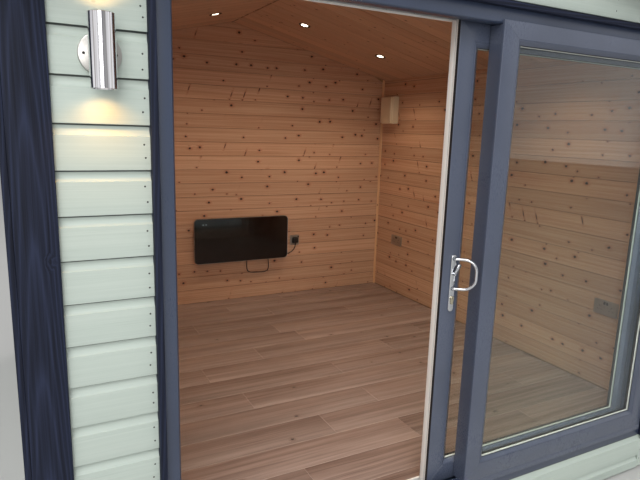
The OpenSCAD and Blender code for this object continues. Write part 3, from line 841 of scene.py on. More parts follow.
@dataclass(frozen=True)
class Moulded:
    """Plastic, rubber, foil or film: an even colour with a fine skin, slight clouding and uneven gloss."""

    name: str
    colour: Colour
    other: Colour
    roughness: float = 0.4
    skin: Point = (900, 900, 900)
    relief: float = 0.00004
    coat: float = 0.0
    gloss: float = 0.5

    def make(self) -> Material:
        """Makes the material.

        Returns:
            The material, where skin is the cells of its fine relief in a metre along each axis.
        """
        g = Graph(self.name)
        at = g.place(Grain.ALONG_X, False)
        fine = g.noise(at, self.skin, 3, 0.6)
        cloud = g.noise(at, (3.1, 3.1, 3.1), 4, 0.6)
        colour = g.mix(g.fade(cloud, 0.35, 0.75, 0.0, 0.6), self.colour, self.other)
        colour = g.mix(g.fade(fine, 0.35, 0.75, 0.0, 0.35), colour, self.other)
        worn = g.math("MULTIPLY_ADD", fine, 0.5, g.times(cloud, 0.5))
        rough = g.fade(worn, 0.25, 0.75, self.roughness - 0.07, self.roughness + 0.09)
        inputs = {"Base Color": colour, "Roughness": rough, "Normal": g.bump(fine, self.relief)}
        return g.surface({**inputs, "Coat Weight": self.coat, "Specular IOR Level": self.gloss})


@dataclass(frozen=True)
class Metal:
    """Brushed or polished metal: fine lines, soft waves, dull smears and, on the lights' tube, long bands of
    painted reflection.
    """

    name: str
    colour: Colour
    roughness: float = 0.2
    lines: Point = (40, 900, 40)
    relief: float = 0.00002
    wave: float = 0.0004
    # bands: the strength of the painted reflection, long lilac and warm bands along the tube
    bands: float = 0.0

    def make(self) -> Material:
        """Makes the material.

        Returns:
            The material, whose lines run the way in which their scale is small.
        """
        g = Graph(self.name)
        at = g.place(Grain.CHART, False)
        fine = g.noise(at, self.lines, 3, 0.7)
        smear = g.noise(at, (6, 9, 6), 3, 0.6)
        dull = (*(0.72 * c for c in self.colour[:3]), 1.0)
        colour = g.mix(g.fade(fine, 0.3, 0.8, 0.0, 0.35), self.colour, dull)
        # Painted reflection: lilac and warm bands run along the tube, standing for the surroundings that the
        # polished steel mirrors
        if self.bands:
            wide = g.fade(g.noise(at, (70, 1.2, 70), 2, 0.6), 0.46, 0.62)
            narrow = g.fade(g.noise(at, (260, 1.5, 260), 2, 0.6), 0.5, 0.66)
            colour = g.mix(g.times(wide, self.bands), colour, paint(126, 124, 140))
            colour = g.mix(g.times(narrow, self.bands), colour, paint(104, 88, 80))
        worn = g.math("MULTIPLY_ADD", fine, 0.5, g.times(smear, 0.5))
        rough = g.fade(worn, 0.3, 0.7, self.roughness * 0.7, self.roughness * 1.5)
        normal = g.bump(smear, self.wave, 0.6, g.bump(fine, self.relief))
        return g.surface({"Base Color": colour, "Metallic": 1.0, "Roughness": rough, "Normal": normal})


@dataclass(frozen=True)
class Glass:
    """A clear glass pane with a faint green tint and a film of dust."""

    name: str
    tint: Colour

    def make(self) -> Material:
        """Makes the material.

        Returns:
            The material, which lets light from lamps through.
        """
        g = Graph(self.name)
        film = g.noise(g.place(Grain.ALONG_X, False), (7, 7, 7), 5, 0.7)
        rough = g.fade(film, 0.45, 0.9, 0.0, 0.05)
        inputs = {"Base Color": self.tint, "Roughness": rough, "Transmission Weight": 1.0, "IOR": 1.22}
        return g.surface(inputs, lets_light_through=True)


@dataclass(frozen=True)
class Lamp:
    """A frosted lens lit from behind."""

    name: str
    colour: Colour
    strength: float

    def make(self) -> Material:
        """Makes the material.

        Returns:
            The material, whose light is mottled a little by the frosting.
        """
        g = Graph(self.name)
        frost = g.noise(g.place(Grain.ALONG_X, False), (420, 420, 420), 2)
        colour = g.mix(g.fade(frost, 0.3, 0.8, 0.0, 0.2), self.colour, (1.0, 0.98, 0.92, 1.0))
        inputs = {"Base Color": (0.8, 0.78, 0.72, 1.0), "Roughness": 0.4}
        return g.surface({**inputs, "Emission Color": colour, "Emission Strength": self.strength})


class Finish:
    """The pod's finishes, each made once and shared by every piece that wears it."""

    def __init__(self) -> None:
        """Makes every material."""
        self.paints()
        self.timbers()
        self.mouldings()
        self.metals()
        self.glass = Glass("clear_glass", (0.955, 0.98, 0.972, 1.0)).make()
        self.lens = Lamp("lamp_lens", (1.0, 0.72, 0.4, 1.0), 6.0).make()
        self.downlight = Lamp("downlight_lens", (1.0, 0.86, 0.66, 1.0), 9.0).make()
        self.indicator = Lamp("indicator", (0.5, 0.75, 0.9, 1.0), 0.7).make()

    def paints(self) -> None:
        """Makes the sage paint of the cladding and the navy paint of the trim."""
        sage = (paint(192, 205, 197), paint(142, 158, 149), paint(212, 222, 215))
        # The sage's seam_shade is painted shade: near black in the recess under each board's lower edge
        self.sage = PaintedTimber("sage_paint", *sage, seam_shade=paint(22, 32, 33)).make()
        navy = (paint(19, 23, 37), paint(8, 9, 14), paint(42, 49, 72))
        self.navy = PaintedTimber(
            "navy_paint", *navy, knots=0.5, streaks=0.6, roughness=0.62, dust=0.08, gloss=0.2, arch=0.7
        ).make()

    def timbers(self) -> None:
        """Makes the pines of the room, the printed oak of the floor and the sawn timber of the carcass."""
        wall = (paint(222, 182, 152), paint(190, 140, 108), paint(28, 11, 8))
        look = dict(knots=0.55, knot_size=(0.0042, 0.0098), spikes=1.0, streak=95.0, arch=0.2)
        # The wall pine's edge colour is painted shade in the grooves and at the boards' ends
        look.update(contrast=0.75, spread=0.13, red=paint(180, 108, 78), edge=paint(112, 66, 44))
        self.wall_pine = Timber("wall_pine", *wall, **look).make()
        ceiling = (paint(214, 176, 148), paint(186, 144, 116), paint(70, 34, 22))
        look = dict(knots=0.3, streak=95.0, arch=0.15, contrast=0.5, spread=0.16)
        # The ceiling pine's edge colour, near black, is painted shade in the grooves and at the boards' ends
        look.update(red=paint(168, 108, 78), edge=paint(44, 20, 12))
        self.ceiling_pine = Timber("ceiling_pine", *ceiling, **look).make()
        bead = (paint(232, 186, 142), paint(204, 150, 106), paint(120, 70, 44))
        self.bead_pine = Timber("bead_pine", *bead, knots=0.05, contrast=0.6, spread=0.05).make()
        oak = (paint(166, 145, 137), paint(110, 89, 81), paint(42, 28, 24))
        look = dict(knots=0.06, knot_size=(0.004, 0.009), streak=34.0, arch=0.5, contrast=0.75, spread=0.16)
        look.update(red=paint(112, 87, 78), edge=paint(200, 184, 176), roughness=0.42, relief=0.00012)
        self.laminate = Timber("laminate_oak", *oak, **look).make()
        sawn = (paint(196, 160, 112), paint(142, 104, 66), paint(84, 50, 30))
        self.sawn = {}
        for grain in (Grain.ALONG_X, Grain.ALONG_Y, Grain.ALONG_Z):
            name = "sawn_timber_" + grain.name.lower()
            self.sawn[grain] = Timber(name, *sawn, grain, roughness=0.75, relief=0.0006).make()

    def mouldings(self) -> None:
        """Makes the door's foils, the plastics, the rubbers and the roof's coverings."""
        foil = dict(skin=(1100, 1100, 90), relief=0.00005, gloss=0.75)
        self.foil = Moulded("graphite_foil", paint(59, 70, 94), paint(48, 57, 77), 0.32, **foil).make()
        # Painted sheen: the leaves wear the frame's foil drawn lighter, standing for the sky that their gloss
        # reflects
        self.leaf_foil_painted_sheen = Moulded("leaf_foil_painted_sheen", paint(84, 92, 112), paint(72, 79, 96), 0.3, **foil).make()
        self.nail = Moulded("nail_steel", paint(38, 37, 36), paint(20, 19, 18), 0.5, relief=0.0002).make()
        self.white_plastic = Moulded("white_plastic", paint(250, 249, 246), paint(241, 239, 234), 0.3).make()
        self.gasket = Moulded("black_gasket", paint(20, 20, 22), paint(34, 34, 36), 0.6, relief=0.0001).make()
        self.spacer = Moulded("spacer_bar", paint(212, 212, 208), paint(196, 196, 194), 0.45).make()
        self.plug = Moulded("plug_plastic", paint(24, 24, 26), paint(34, 34, 36), 0.32).make()
        self.unit = Moulded("unit_plastic", paint(238, 218, 188), paint(228, 206, 176), 0.42).make()
        self.rubber = Moulded(
            "cord_rubber", paint(22, 22, 24), paint(36, 36, 38), 0.5, (700, 700, 700), 0.0001
        ).make()
        self.heater_glass = Moulded(
            "heater_glass", paint(9, 6, 9), paint(14, 10, 13), 0.1, (20, 20, 20), 0.000004, coat=0.3
        ).make()
        self.membrane = Moulded(
            "roof_membrane", paint(52, 54, 58), paint(78, 80, 82), 0.72, (160, 160, 160), 0.0004
        ).make()
        self.panel = Moulded(
            "roof_panel", paint(166, 132, 88), paint(130, 98, 62), 0.7, (60, 60, 60), 0.0006
        ).make()

    def metals(self) -> None:
        """Makes the rails, the door's furniture, the lights' steel and the heater's rim."""
        self.aluminium = Metal("aluminium_rail", paint(190, 192, 194), 0.3).make()
        self.polished = Metal("polished_chrome", paint(216, 218, 222), 0.08, wave=0.0001).make()
        # The light tube's lilac and warm bands are painted reflection
        self.tube_steel = Metal(
            "tube_steel_painted_reflection", paint(252, 251, 254), 0.09, (1600, 8, 1600), wave=0.0003, bands=0.55
        ).make()
        self.brushed = Metal("brushed_steel", paint(186, 184, 180), 0.32, (30, 1200, 30), 0.00003).make()
        self.brass = Metal("cylinder_nickel", paint(208, 200, 176), 0.22).make()
        # Painted shade: the downlights' bezels are a dark brown, standing for the shade in their recessed
        # rings
        self.bezel = Metal("bezel_painted_shade", paint(66, 52, 44), 0.35).make()
        self.rim = Metal("heater_rim", paint(168, 166, 166), 0.3).make()


@dataclass
class Assembly:
    """A part of the pod: its sizes in millimetres, and the shared finishes that dress it."""

    finish: Finish


@dataclass
class Board:
    """A flat board with an arris along both of its edges, sizes in millimetres.

    sink is how far each edge lies behind the face, gap the opening at each joint, and end the edge mark of
    the ends, where the pine linings' finish paints shade.
    """

    thick: float = 12.0
    pitch: float = 108.0
    arris: float = 2.4
    sink: float = 2.0
    gap: float = 0.35
    end: float = 1.0

    def front(self, width: float) -> Array:
        """Gives the face's curve as points of height and depth: flat, with a chamfer at each edge."""
        g, a = self.gap, self.arris
        return np.array([[g, self.sink], [a, 0], [width / 2, 0], [width - a, 0], [width - g, self.sink]])

    def worn(self, over: Array, depth: Array) -> Array:
        """Says which of the face's points, by height and depth, take the edge's colour, which is painted
        shade on the pine linings.

        Args:
            over: the points' heights above the board's lower edge, not used here.
            depth: their depths.

        Returns:
            A mark from 0 to 1 for each, and for the three points of the back.
        """
        bevel = (depth > 0.05) & (depth <= self.sink + 0.01)
        return np.append(bevel, [False, False, False]).astype(float)

    def lay(
        self,
        skin: Skin,
        axes: Axes,
        foot: float,
        ends: tuple,
        board: float,
        width: float | None = None,
        low: float = -1e6,
        high: float = 1e6,
        ease: float = 0.8,
    ) -> None:
        """Lays one board on a face.

        Args:
            skin: the piece to add it to.
            axes: the face, with s along the board, t across it and d into it.
            foot: the board's lower edge.
            ends: where it starts and ends along s, each a number or a function of t.
            board: its number, from 0 to 1.
            width: its width, or None for the pitch.
            low: the face's lower limit, which cuts the board.
            high: the face's upper limit.
            ease: the chamfer at its ends.
        """
        curve = self.front(width or self.pitch)
        t = np.clip(foot + curve[:, 0], low, high)
        if t.max() - t.min() < 2:
            return
        depth = np.interp(t - foot, curve[:, 0], curve[:, 1])
        section = np.stack([np.append(t, [t[-1], t[0]]), np.append(depth, [self.thick, self.thick])], 1)
        cuts = [np.broadcast_to(e(section[:, 0]) if callable(e) else float(e), len(section)) for e in ends]
        if (cuts[1] - cuts[0]).min() < 4 * ease:
            return
        rings = axes.bar(section, cuts[0], cuts[1], ease)
        along = np.stack([cuts[0], cuts[0] + ease, cuts[1] - ease, cuts[1]])
        along = np.concatenate([along, along[:, :1]], 1)
        over = np.append(section[:, 0] - foot + section[:, 1] * 0.5, section[0, 0] - foot)
        chart = np.stack([along, np.broadcast_to(over, along.shape)], -1)
        edge = np.maximum(self.worn(t - foot, depth)[None, :], np.array([self.end, 0, 0, self.end])[:, None])
        skin.tube(rings, chart, board=board, edge=edge)

    def rows(self, low: float, high: float, first: float) -> Array:
        """Gives the lower edges of the boards that cover a face from low to high, one of them at first."""
        below, above = math.floor((low - first) / self.pitch), math.ceil((high - first) / self.pitch)
        return first + self.pitch * np.arange(below, above)


@dataclass
class CovedBoard(Board):
    """A shiplap board: flat, then a cove that runs back to a recessed strip under the next board's edge."""

    thick: float = 15.0
    pitch: float = 114.0
    flat: float = 86.0
    strip: float = 104.0
    back: float = 9.0
    end: float = 0.0

    def front(self, width: float) -> Array:
        """Gives the face's curve.

        The cove is part of a circle that touches the strip's plane. Its depth is
        back - r + sqrt(r^2 - (strip - t)^2), where r makes it nothing at the flat's edge.

        Args:
            width: not used, because a coved board's width is its pitch.

        Returns:
            The curve's points of height and depth.
        """
        rise = self.strip - self.flat
        r = (rise**2 + self.back**2) / (2 * self.back)
        t = np.linspace(self.flat, self.strip, 7)
        cove = self.back - r + np.sqrt(r**2 - (self.strip - t) ** 2)
        foot = [[0.2, 2.4], [0.5, 1.1], [1.3, 0.3], [2.6, 0], [self.flat / 2, 0], [self.flat - 1, 0]]
        # The seam_shade points lie on the strip's top under the next board's edge, where the finish paints
        # shade
        seam_shade = [[self.pitch - gap, self.back] for gap in (3.8, 3.3, 0.4)]
        return np.concatenate([foot, np.stack([t, cove], 1), seam_shade])

    def worn(self, over: Array, depth: Array) -> Array:
        """Says which points lie in the recess under the next board's edge and take its painted shade, as
        Board.worn does.
        """
        in_painted_shade = (over > self.pitch - 3.4) | (depth > 2.0) & (over < 1)
        return np.append(in_painted_shade, [True, True, True]).astype(float)


def gable_ends(limit: float, top: float) -> tuple:
    """Finds the ends of a board under a pitched top, each at |x| = (top - z) / slope, up to limit.

    Args:
        limit: the farthest that an end lies from the middle.
        top: the height of the pitched top in the middle.

    Returns:
        The start and the end, as functions of the board's height.
    """
    return (
        lambda t: -np.minimum(limit, (top - t) / SLOPE),
        lambda t: np.minimum(limit, (top - t) / SLOPE),
    )


def under_roof(s: float) -> float:
    """Gives the height of the outside walls' top at the distance s from the building's middle."""
    return WALL_TOP - SLOPE * abs(s)


@dataclass
class Cladding(Assembly):
    """The painted boards round the outside, with the nails that hold them."""

    half_width: float = 1500.0
    length: float = 2910.0
    foot: float = 10.0
    top: float = 2440.0
    side_top: float = 2072.0
    gable_gap: float = 6.0
    corner: float = 15.5
    frame: float = 1173.0
    frame_foot: float = 192.0
    head: float = 2078.0
    line: float = 1858.0
    skirt_line: float = 76.0
    nail: float = 2.5
    nail_rises: tuple[float, float] = (29.0, 66.0)

    def nails(
        self,
        skin: Skin,
        axes: Axes,
        rows: Array,
        stations: Array,
        low: float,
        high: float | Callable,
        rng: np.random.Generator,
    ) -> None:
        """Adds two nail heads to each board at each station along the face.

        Args:
            skin: the piece to add them to.
            axes: the face.
            rows: the boards' lower edges.
            stations: the places along the face.
            low: the lowest height that holds a nail.
            high: the highest, a number or a function of the station.
            rng: the source of the small slips in their places.
        """
        r = self.nail
        for row in rows:
            for s in stations:
                for rise in self.nail_rises:
                    t = row + rise + rng.normal(0, 3.4)
                    top = high(s) if callable(high) else high
                    if low + 6 < t < top - 10:
                        head = axes.at(s + rng.normal(0, 2.0), t)
                        skin.sheet(head.lathe([[r, 0.6], [r, -0.2], [r * 0.8, -0.5], [0, -0.6]], 8))
                        skin.sheet(head.lathe([[0, 0.6], [r, 0.6]], 8))

    def build(self) -> None:
        """Makes the front, gable, skirt, side and back boards and their nails."""
        shape, rng = CovedBoard(), np.random.default_rng(11)
        front, back = Axes(), Axes((0, self.length, 0), inward=OUT)
        rows = shape.rows(self.foot, self.top, self.line)
        ends, peak = gable_ends(self.half_width, WALL_TOP), WALL_TOP - self.gable_gap
        panels, gable, skirt, sides, rear, nails = (Skin() for _ in range(6))
        for x0, x1 in ((-self.half_width, -self.frame), (self.frame, self.half_width)):
            for row in rows:
                shape.lay(panels, front, row, (x0, x1), rng.random(), low=self.foot, high=self.head)
            door_end = x1 - 14 if x0 < 0 else x0 + 14
            self.nails(nails, front, rows, np.array([door_end]), self.foot, self.head, rng)
        for row in rows:
            shape.lay(gable, front, row, ends, rng.random(), low=self.head, high=peak)
        self.nails(nails, front, rows, np.linspace(-1180, 1180, 5), self.head, under_roof, rng)
        run = (-self.frame, self.frame)
        for row in shape.rows(self.foot, self.frame_foot, self.skirt_line):
            shape.lay(skirt, front, row, run, rng.random(), low=self.foot, high=self.frame_foot)
        for sign in (-1, 1):
            face = Axes((sign * self.half_width, 0, 0), REAR, UP, (-sign, 0, 0))
            run = (self.corner, self.length - self.corner)
            for row in rows:
                shape.lay(sides, face, row, run, rng.random(), low=self.foot, high=self.side_top)
            stations = np.linspace(96, self.length - 96, 6)
            self.nails(nails, face, rows, stations, self.foot, self.side_top - 12, rng)
        for row in rows:
            shape.lay(rear, back, row, ends, rng.random(), low=self.foot, high=peak)
        self.nails(nails, back, rows, np.linspace(-1380, 1380, 6), self.foot, under_roof, rng)
        pieces = {"front": panels, "gable": gable, "skirt": skirt, "side": sides, "back": rear}
        for place, skin in pieces.items():
            skin.build(place + "_boards", self.finish.sage, replaces=(place + "_cladding",), slot="cladding")
        nails.build("cladding_nails", self.finish.nail)


@dataclass
class DarkTrim(Assembly):
    """The navy corner boards, barge boards, fascias and the battens round the door."""

    arris: float = 2.0
    half_width: float = 1500.0
    length: float = 2910.0
    face: float = 99.0
    side: float = 80.0
    thick: float = 16.0
    foot: float = 10.0
    ease: float = 1.2
    frame: float = 1173.0
    batten: tuple[float, float] = (-20.0, 6.0)
    batten_width: float = 19.0
    frame_foot: float = 192.0
    head: tuple[float, float] = (2060.0, 2078.0)
    barge_top: float = 2361.3
    overhang: float = 1560.0
    fascia: tuple[float, float] = (1980.3, 2100.3)

    def upright(self, skin: Skin, x: tuple, y: tuple, z0: float, z1: float | None, board: float) -> None:
        """Adds an upright board.

        Args:
            skin: the piece to add it to.
            x: where it starts and ends across the building.
            y: where it starts and ends from front to rear.
            z0: its foot.
            z1: its top, or None where that follows the roof's underside.
            board: its number, from 0 to 1.
        """
        section = box_outline(*x, *y, self.arris)
        top = WALL_TOP - 0.3 - SLOPE * np.abs(section[:, 0]) if z1 is None else z1
        axes = Axes(along=UP, across=RIGHT, inward=REAR)
        skin.tube(axes.bar(section, z0, top, self.ease), board=board)

    def build(self) -> None:
        """Makes each set of boards as one piece."""
        rng = np.random.default_rng(5)
        corners, battens, barges, fascias = (Skin() for _ in range(4))
        hw, t, rear = self.half_width, self.thick, self.length
        for sign in (-1, 1):
            for y, lap in (((-t, 0), (-t, self.side)), ((rear, rear + t), (rear - self.side, rear + t))):
                x = sorted((sign * hw, sign * (hw - self.face)))
                self.upright(corners, tuple(x), y, self.foot, None, rng.random())
                x = sorted((sign * (hw + t), sign * hw))
                self.upright(corners, tuple(x), lap, self.foot, None, rng.random())
        w, (low, high) = self.frame, self.head
        for x, board in (((-w, self.batten_width - w), 0.31), ((w - self.batten_width, w), 0.62)):
            self.upright(battens, x, self.batten, self.frame_foot, low - 0.4, board)
        section = box_outline(low, high, *self.batten, self.arris)
        battens.tube(Axes().bar(section, -w, w, self.ease), board=0.87)
        for sign in (-1, 1):
            for y in (-110, 2932):
                slope = Axes((0, 0, self.barge_top), (sign, 0, -SLOPE), UP, REAR)
                section = box_outline(0, 120, y, y + 18, self.arris)
                barges.tube(slope.bar(section, 0.2, self.overhang, self.ease), board=rng.random())
        for sign in (-1, 1):
            run = Axes(along=REAR, across=(sign, 0, 0), inward=UP)
            section = box_outline(self.overhang, self.overhang + 18, *self.fascia, self.arris)
            fascias.tube(run.bar(section, -110, 2950, self.ease), board=rng.random())
        for skin, name, node in (
            (corners, "corner_boards_dressed", "corner_boards"),
            (battens, "door_battens", "door_surround"),
            (barges, "barge_boards_dressed", "barge_boards"),
            (fascias, "fascias_dressed", "eaves_fascias"),
        ):
            skin.build(name, self.finish.navy, replaces=(node,), slot="dark_timber")


@dataclass
class PineRoom(Assembly):
    """The room's tongued and grooved boards: walls, ceiling and corner beads."""

    half_width: float = 1412.0
    front: float = 120.0
    back: float = 2822.0
    floor: float = 215.0
    ridge: float = 2422.9
    first: float = 218.0
    opening: tuple[float, float] = (1175.0, 2074.0)
    ceiling: tuple[float, float] = (108.0, 2834.0)
    eaves: float = 1423.5
    bead: float = 18.0
    bead_top: float = 2081.6

    def build(self) -> None:
        """Makes the walls, the ceiling and the beads."""
        rng = np.random.default_rng(23)
        self.walls(rng)
        boards, ceiling = Board(pitch=107.5, arris=3.4, sink=2.6), Skin()
        low, high = self.ceiling
        for sign in (-1, 1):
            axes = Axes((0, 0, self.ridge), (sign, 0, -SLOPE), REAR, UP)
            for row in boards.rows(low, high, self.back - 15):
                boards.lay(ceiling, axes, row, (2.5, self.eaves), rng.random(), None, low, high - 0.2, 5.0)
        ceiling.build("ceiling_boards", self.finish.ceiling_pine, replaces=("ceiling_lining",), slot="pine")
        beads, post = Skin(), Axes(along=UP, across=RIGHT, inward=REAR)
        for sign in (-1, 1):
            for y, turn in ((self.back, -1), (self.front, 1)):
                x = sign * self.half_width
                corners = [[x, y], [x - sign * self.bead, y], [x, y + turn * self.bead]]
                section = rounded(corners, [0.5, 1.5, 1.5])
                beads.tube(post.bar(section, self.floor, self.bead_top, 0.8), board=rng.random())
        beads.build("corner_beads_dressed", self.finish.bead_pine, replaces=("corner_beads",), slot="pine")

    def walls(self, rng: np.random.Generator) -> None:
        """Makes the back, side and front walls of level boards.

        Args:
            rng: the source of the boards' numbers.
        """
        hw, top, shape = self.half_width, self.ridge, Board()
        rear, sides, front = (Skin() for _ in range(3))
        gable, peak, eaves = gable_ends(hw, top), top - 4, top - SLOPE * hw
        for row in shape.rows(self.floor + 3, peak, self.first):
            low = self.floor if row <= self.first else row
            width = shape.pitch + (row - low) if low < row else None
            shape.lay(rear, Axes((0, self.back, 0)), low, gable, rng.random(), width, self.floor, peak)
        for sign in (-1, 1):
            axes = Axes((sign * hw, 0, 0), REAR, UP, (sign, 0, 0))
            for row in shape.rows(self.floor + 3, eaves, self.first):
                shape.lay(sides, axes, row, (self.front, self.back), rng.random(), low=self.floor, high=eaves)
        inner = Axes((0, self.front, 0), inward=OUT)
        wide, head = self.opening
        for row in shape.rows(self.floor + 3, top, self.first):
            for ends in ((-hw, -wide), (wide, hw)):
                shape.lay(front, inner, row, ends, rng.random(), low=self.floor, high=head)
            shape.lay(front, inner, row, gable, rng.random(), low=head, high=peak)
        pieces = {"back_lining": rear, "side_linings": sides, "front_lining": front}
        for node, skin in pieces.items():
            name = node.split("_")[0] + "_wall_boards"
            skin.build(name, self.finish.wall_pine, replaces=(node,), slot="pine")


@dataclass
class LaminateFloor(Assembly):
    """Printed laminate planks with a bevel all round, laid across the room in staggered rows."""

    width: float = 190.0
    length: float = 1250.0
    level: float = 215.0
    thick: float = 12.0
    last_row: float = 126.0
    half_width: float = 1411.8
    back: float = 2822.0
    depth: float = 2701.8
    stagger: tuple = (400, -120, 171, -474, 60, 165, -222, -620, 137, -500, 135, -228, 125, -494, 300)

    def build(self) -> None:
        """Lays the rows from the back wall, each with its own stagger."""
        rng, skin = np.random.default_rng(3), Skin()
        plank = Board(thick=self.thick, pitch=self.width, arris=1.9, sink=0.9, gap=0.1)
        axes = Axes((0, self.back, self.level), RIGHT, OUT, DOWN)
        for i, start in enumerate(self.stagger):
            row = self.last_row + self.width * (i - 1)
            cuts = np.clip(start + self.length * np.arange(-3, 4), -self.half_width, self.half_width)
            for a, b in zip(cuts[:-1], cuts[1:]):
                if b - a > 8:
                    run = (a + 0.1, b - 0.1)
                    plank.lay(skin, axes, row, run, rng.random(), low=0.2, high=self.depth, ease=1.6)
        skin.build("laminate_planks", self.finish.laminate, replaces=("laminate_floor",), slot="laminate")


@dataclass
class Doorway(Assembly):
    """The patio door: its frame with the two tracks, the leaf that is fixed and the leaf that slides.

    outer, fixed and sliding are x0, x1, z0 and z1 of the frame's and the leaves' outer edges.
    """

    outer: tuple = (-1173.0, 1173.0, 192.0, 2072.0)
    fixed: tuple = (13.0, 1135.0, 256.0, 2021.0)
    sliding: tuple = (-117.0, 1107.0, 242.0, 2022.0)
    fixed_depth: tuple[float, float] = (-6.0, 61.0)
    sliding_depth: tuple[float, float] = (66.5, 114.5)
    face: float = 90.0
    head_face: float = 77.0
    lap: float = 26.5
    weather_foot: float = 230.0
    sill: tuple = (210.2, 227.5, 42.0, 119.5)
    rails: tuple = ((227, 249, 88.5, 92.5), (2015, 2053.8, 88.5, 92.5))
    brushes: tuple = ((2042, 2054, 68, 72), (2042, 2054, 109, 113))
    track: float = 1154.0

    def ring(
        self,
        skin: Skin,
        box: tuple,
        loop: Array,
        sides: Array | None = None,
        groove: float = 0.9,
        slots: int | Array = 0,
    ) -> None:
        """Adds a mitred ring.

        Args:
            skin: the piece to add it to.
            box: the outer edge's x0, x1, z0 and z1.
            loop: the section of the foot and head, points of distance inside the edge and Y.
            sides: the section of the two sides, or None where it is the same.
            groove: half the width of the groove at each joint.
            slots: the material, for all or for each face round the section.
        """
        upright = loop if sides is None else sides
        rings = mitred_ring(box, (upright, upright, loop, loop), groove)
        skin.tube(rings, caps=False, slots=slots)

    def leaf_section(self, w: float, y0: float, y1: float, outer: list) -> list:
        """Gives the corners of a leaf's section.

        Args:
            w: the section's width.
            y0: the depth of its front.
            y1: the depth of its back.
            outer: the corners of its outer edge, from the back to the front.

        Returns:
            The joint and the sloping bead in front, the glass's rebate, the bead behind, and outer.
        """
        front, rear = y0 + 12, y0 + 36
        joint = [[w - 18.2, y0], [w - 17.6, y0 + 1.6], [w - 16.4, y0 + 1.6], [w - 15.4, y0 - 0.5]]
        rebate = [[w, front - 3], [w, front], [w - 14, front], [w - 14, rear], [w, rear], [w, rear + 3]]
        return [*joint, *rebate, [w - 16, y1], *outer]

    def frame(self) -> None:
        """Makes the outer frame, its tracks and the white lip inside."""
        flange, track, lip, axes = Skin(), Skin(), Skin(), Axes()
        section = [[0, 6], [59, 6], [64, 11], [64, 41], [0, 41]]
        self.ring(flange, self.outer, rounded(section, [0.6, 2.5, 2.5, 0.6, 0.6]))
        flange.build("frame_flange", self.finish.foil, replaces=("door_frame",), slot="door_profile")
        self.ring(track, self.outer, rounded([[0, 41.2], [18, 41.2], [18, 120], [0, 120]], 0.8))
        track.tube(axes.bar(box_outline(*self.sill, 1.5), -self.track - 0.4, self.track + 0.4))
        for bars, radius, slot in ((self.rails, 1.4, 1), (self.brushes, 1, 2)):
            for bar in bars:
                track.tube(axes.bar(box_outline(*bar, radius), -self.track, self.track), slots=slot)
        kinds = (self.finish.foil, self.finish.aluminium, self.finish.gasket)
        track.build("frame_track", *kinds, replaces=("door_track",), slot="door_profile")
        section = [[0, 120.2], [56, 120.2], [56, 126], [53, 129], [0, 129]]
        self.ring(lip, self.outer, rounded(section, [0.5, 0.8, 1.5, 1.5, 0.5]))
        lip.build("frame_lip", self.finish.white_plastic, replaces=("door_lip",), slot="door_white")

    def unit_edge(self, skin: Skin, box: tuple, y0: float) -> None:
        """Adds the spacer bar between a unit's two panes and the black gaskets round it.

        Args:
            skin: the leaf to add them to.
            box: the outer edge that they are measured from.
            y0: the depth of the leaf's front.
        """
        w, front = self.face, y0 + 12
        spacer = box_outline(w - 10, w + 4.5, front + 4.4, front + 9, 1)
        gaskets = [box_outline(w - 10, w + 3.5, front + 9.3, front + 19.6, 1)]
        gaskets += [box_outline(w - 3, w + 2.2, y, y + 1.5, 0.6) for y in (front - 1.6, front + 24.1)]
        self.ring(skin, box, spacer, groove=0.2, slots=2)
        for gasket in gaskets:
            self.ring(skin, box, gasket, groove=0.2, slots=3)

    def fixed_leaf(self, radii: list) -> Skin:
        """Makes the fixed leaf, whose four sides differ, and the weather bar under it.

        Args:
            radii: the radii of the section's corners, from the joint to the bead behind.

        Returns:
            The leaf's skin.
        """
        y0, y1 = self.fixed_depth
        widths = (self.face, self.face, self.face, self.head_face)
        loops = []
        for clear, w in zip((0.6, self.lap, 0.6, self.lap - 13), widths):
            outer = [[clear, y1], [clear, 6.4], [0, 6.4], [0, y0]]
            loops.append(rounded(self.leaf_section(w, y0, y1, outer), [*radii, 0.2, 0.2, 0.2, 1.8]))
        s, y = ((loops[1] + np.roll(loops[1], -1, 0)) / 2).T
        bead = (s > self.face - 15) & (y < y1 - 1.5)
        white = (y > y0 + 37) & (s > self.lap + 0.5) & ~bead
        leaf = Skin().tube(mitred_ring(self.fixed, tuple(loops)), caps=False, slots=white.astype(int))
        x0, x1, foot, head = self.fixed
        leaf.tube(Axes().bar(box_outline(self.weather_foot, foot + 0.6, y0, 5.9, 1.5), x0, x1))
        self.unit_edge(leaf, (x0, x1, foot, head + self.face - self.head_face), y0)
        return leaf

    def sliding_leaf(self, radii: list) -> Skin:
        """Makes the sliding leaf, grooved for the rails, with a white back and a brush in its edge.

        Args:
            radii: the radii of the section's corners, from the joint to the bead behind.

        Returns:
            The leaf's skin.
        """
        y0, y1 = self.sliding_depth
        radii = [*radii, 1.5, 0.4, 0.3, 0.3, 0.4, 0.1, 1.8]
        rail = [[0, y1], [0, 96.5], [12, 96.5], [12, 84.5], [0, 84.5], [0, 80], [0, y0]]
        edge = [[0, y1], [0, 91.5], [3, 91.5], [3, 87.0], [0, 87.0], [0, 80.5], [0, y0]]
        sections = (self.leaf_section(self.face, y0, y1, outer) for outer in (rail, edge))
        level, upright = (rounded(section, radii) for section in sections)
        s, y = ((upright + np.roll(upright, -1, 0)) / 2).T
        slots = np.where(y > 80.5, 1, 0)
        slots[(s > 0.4) & (s < 4) & (y > 86) & (y < 92)] = 2
        slots[(s > 60) & (y < y0 + 37)] = 0
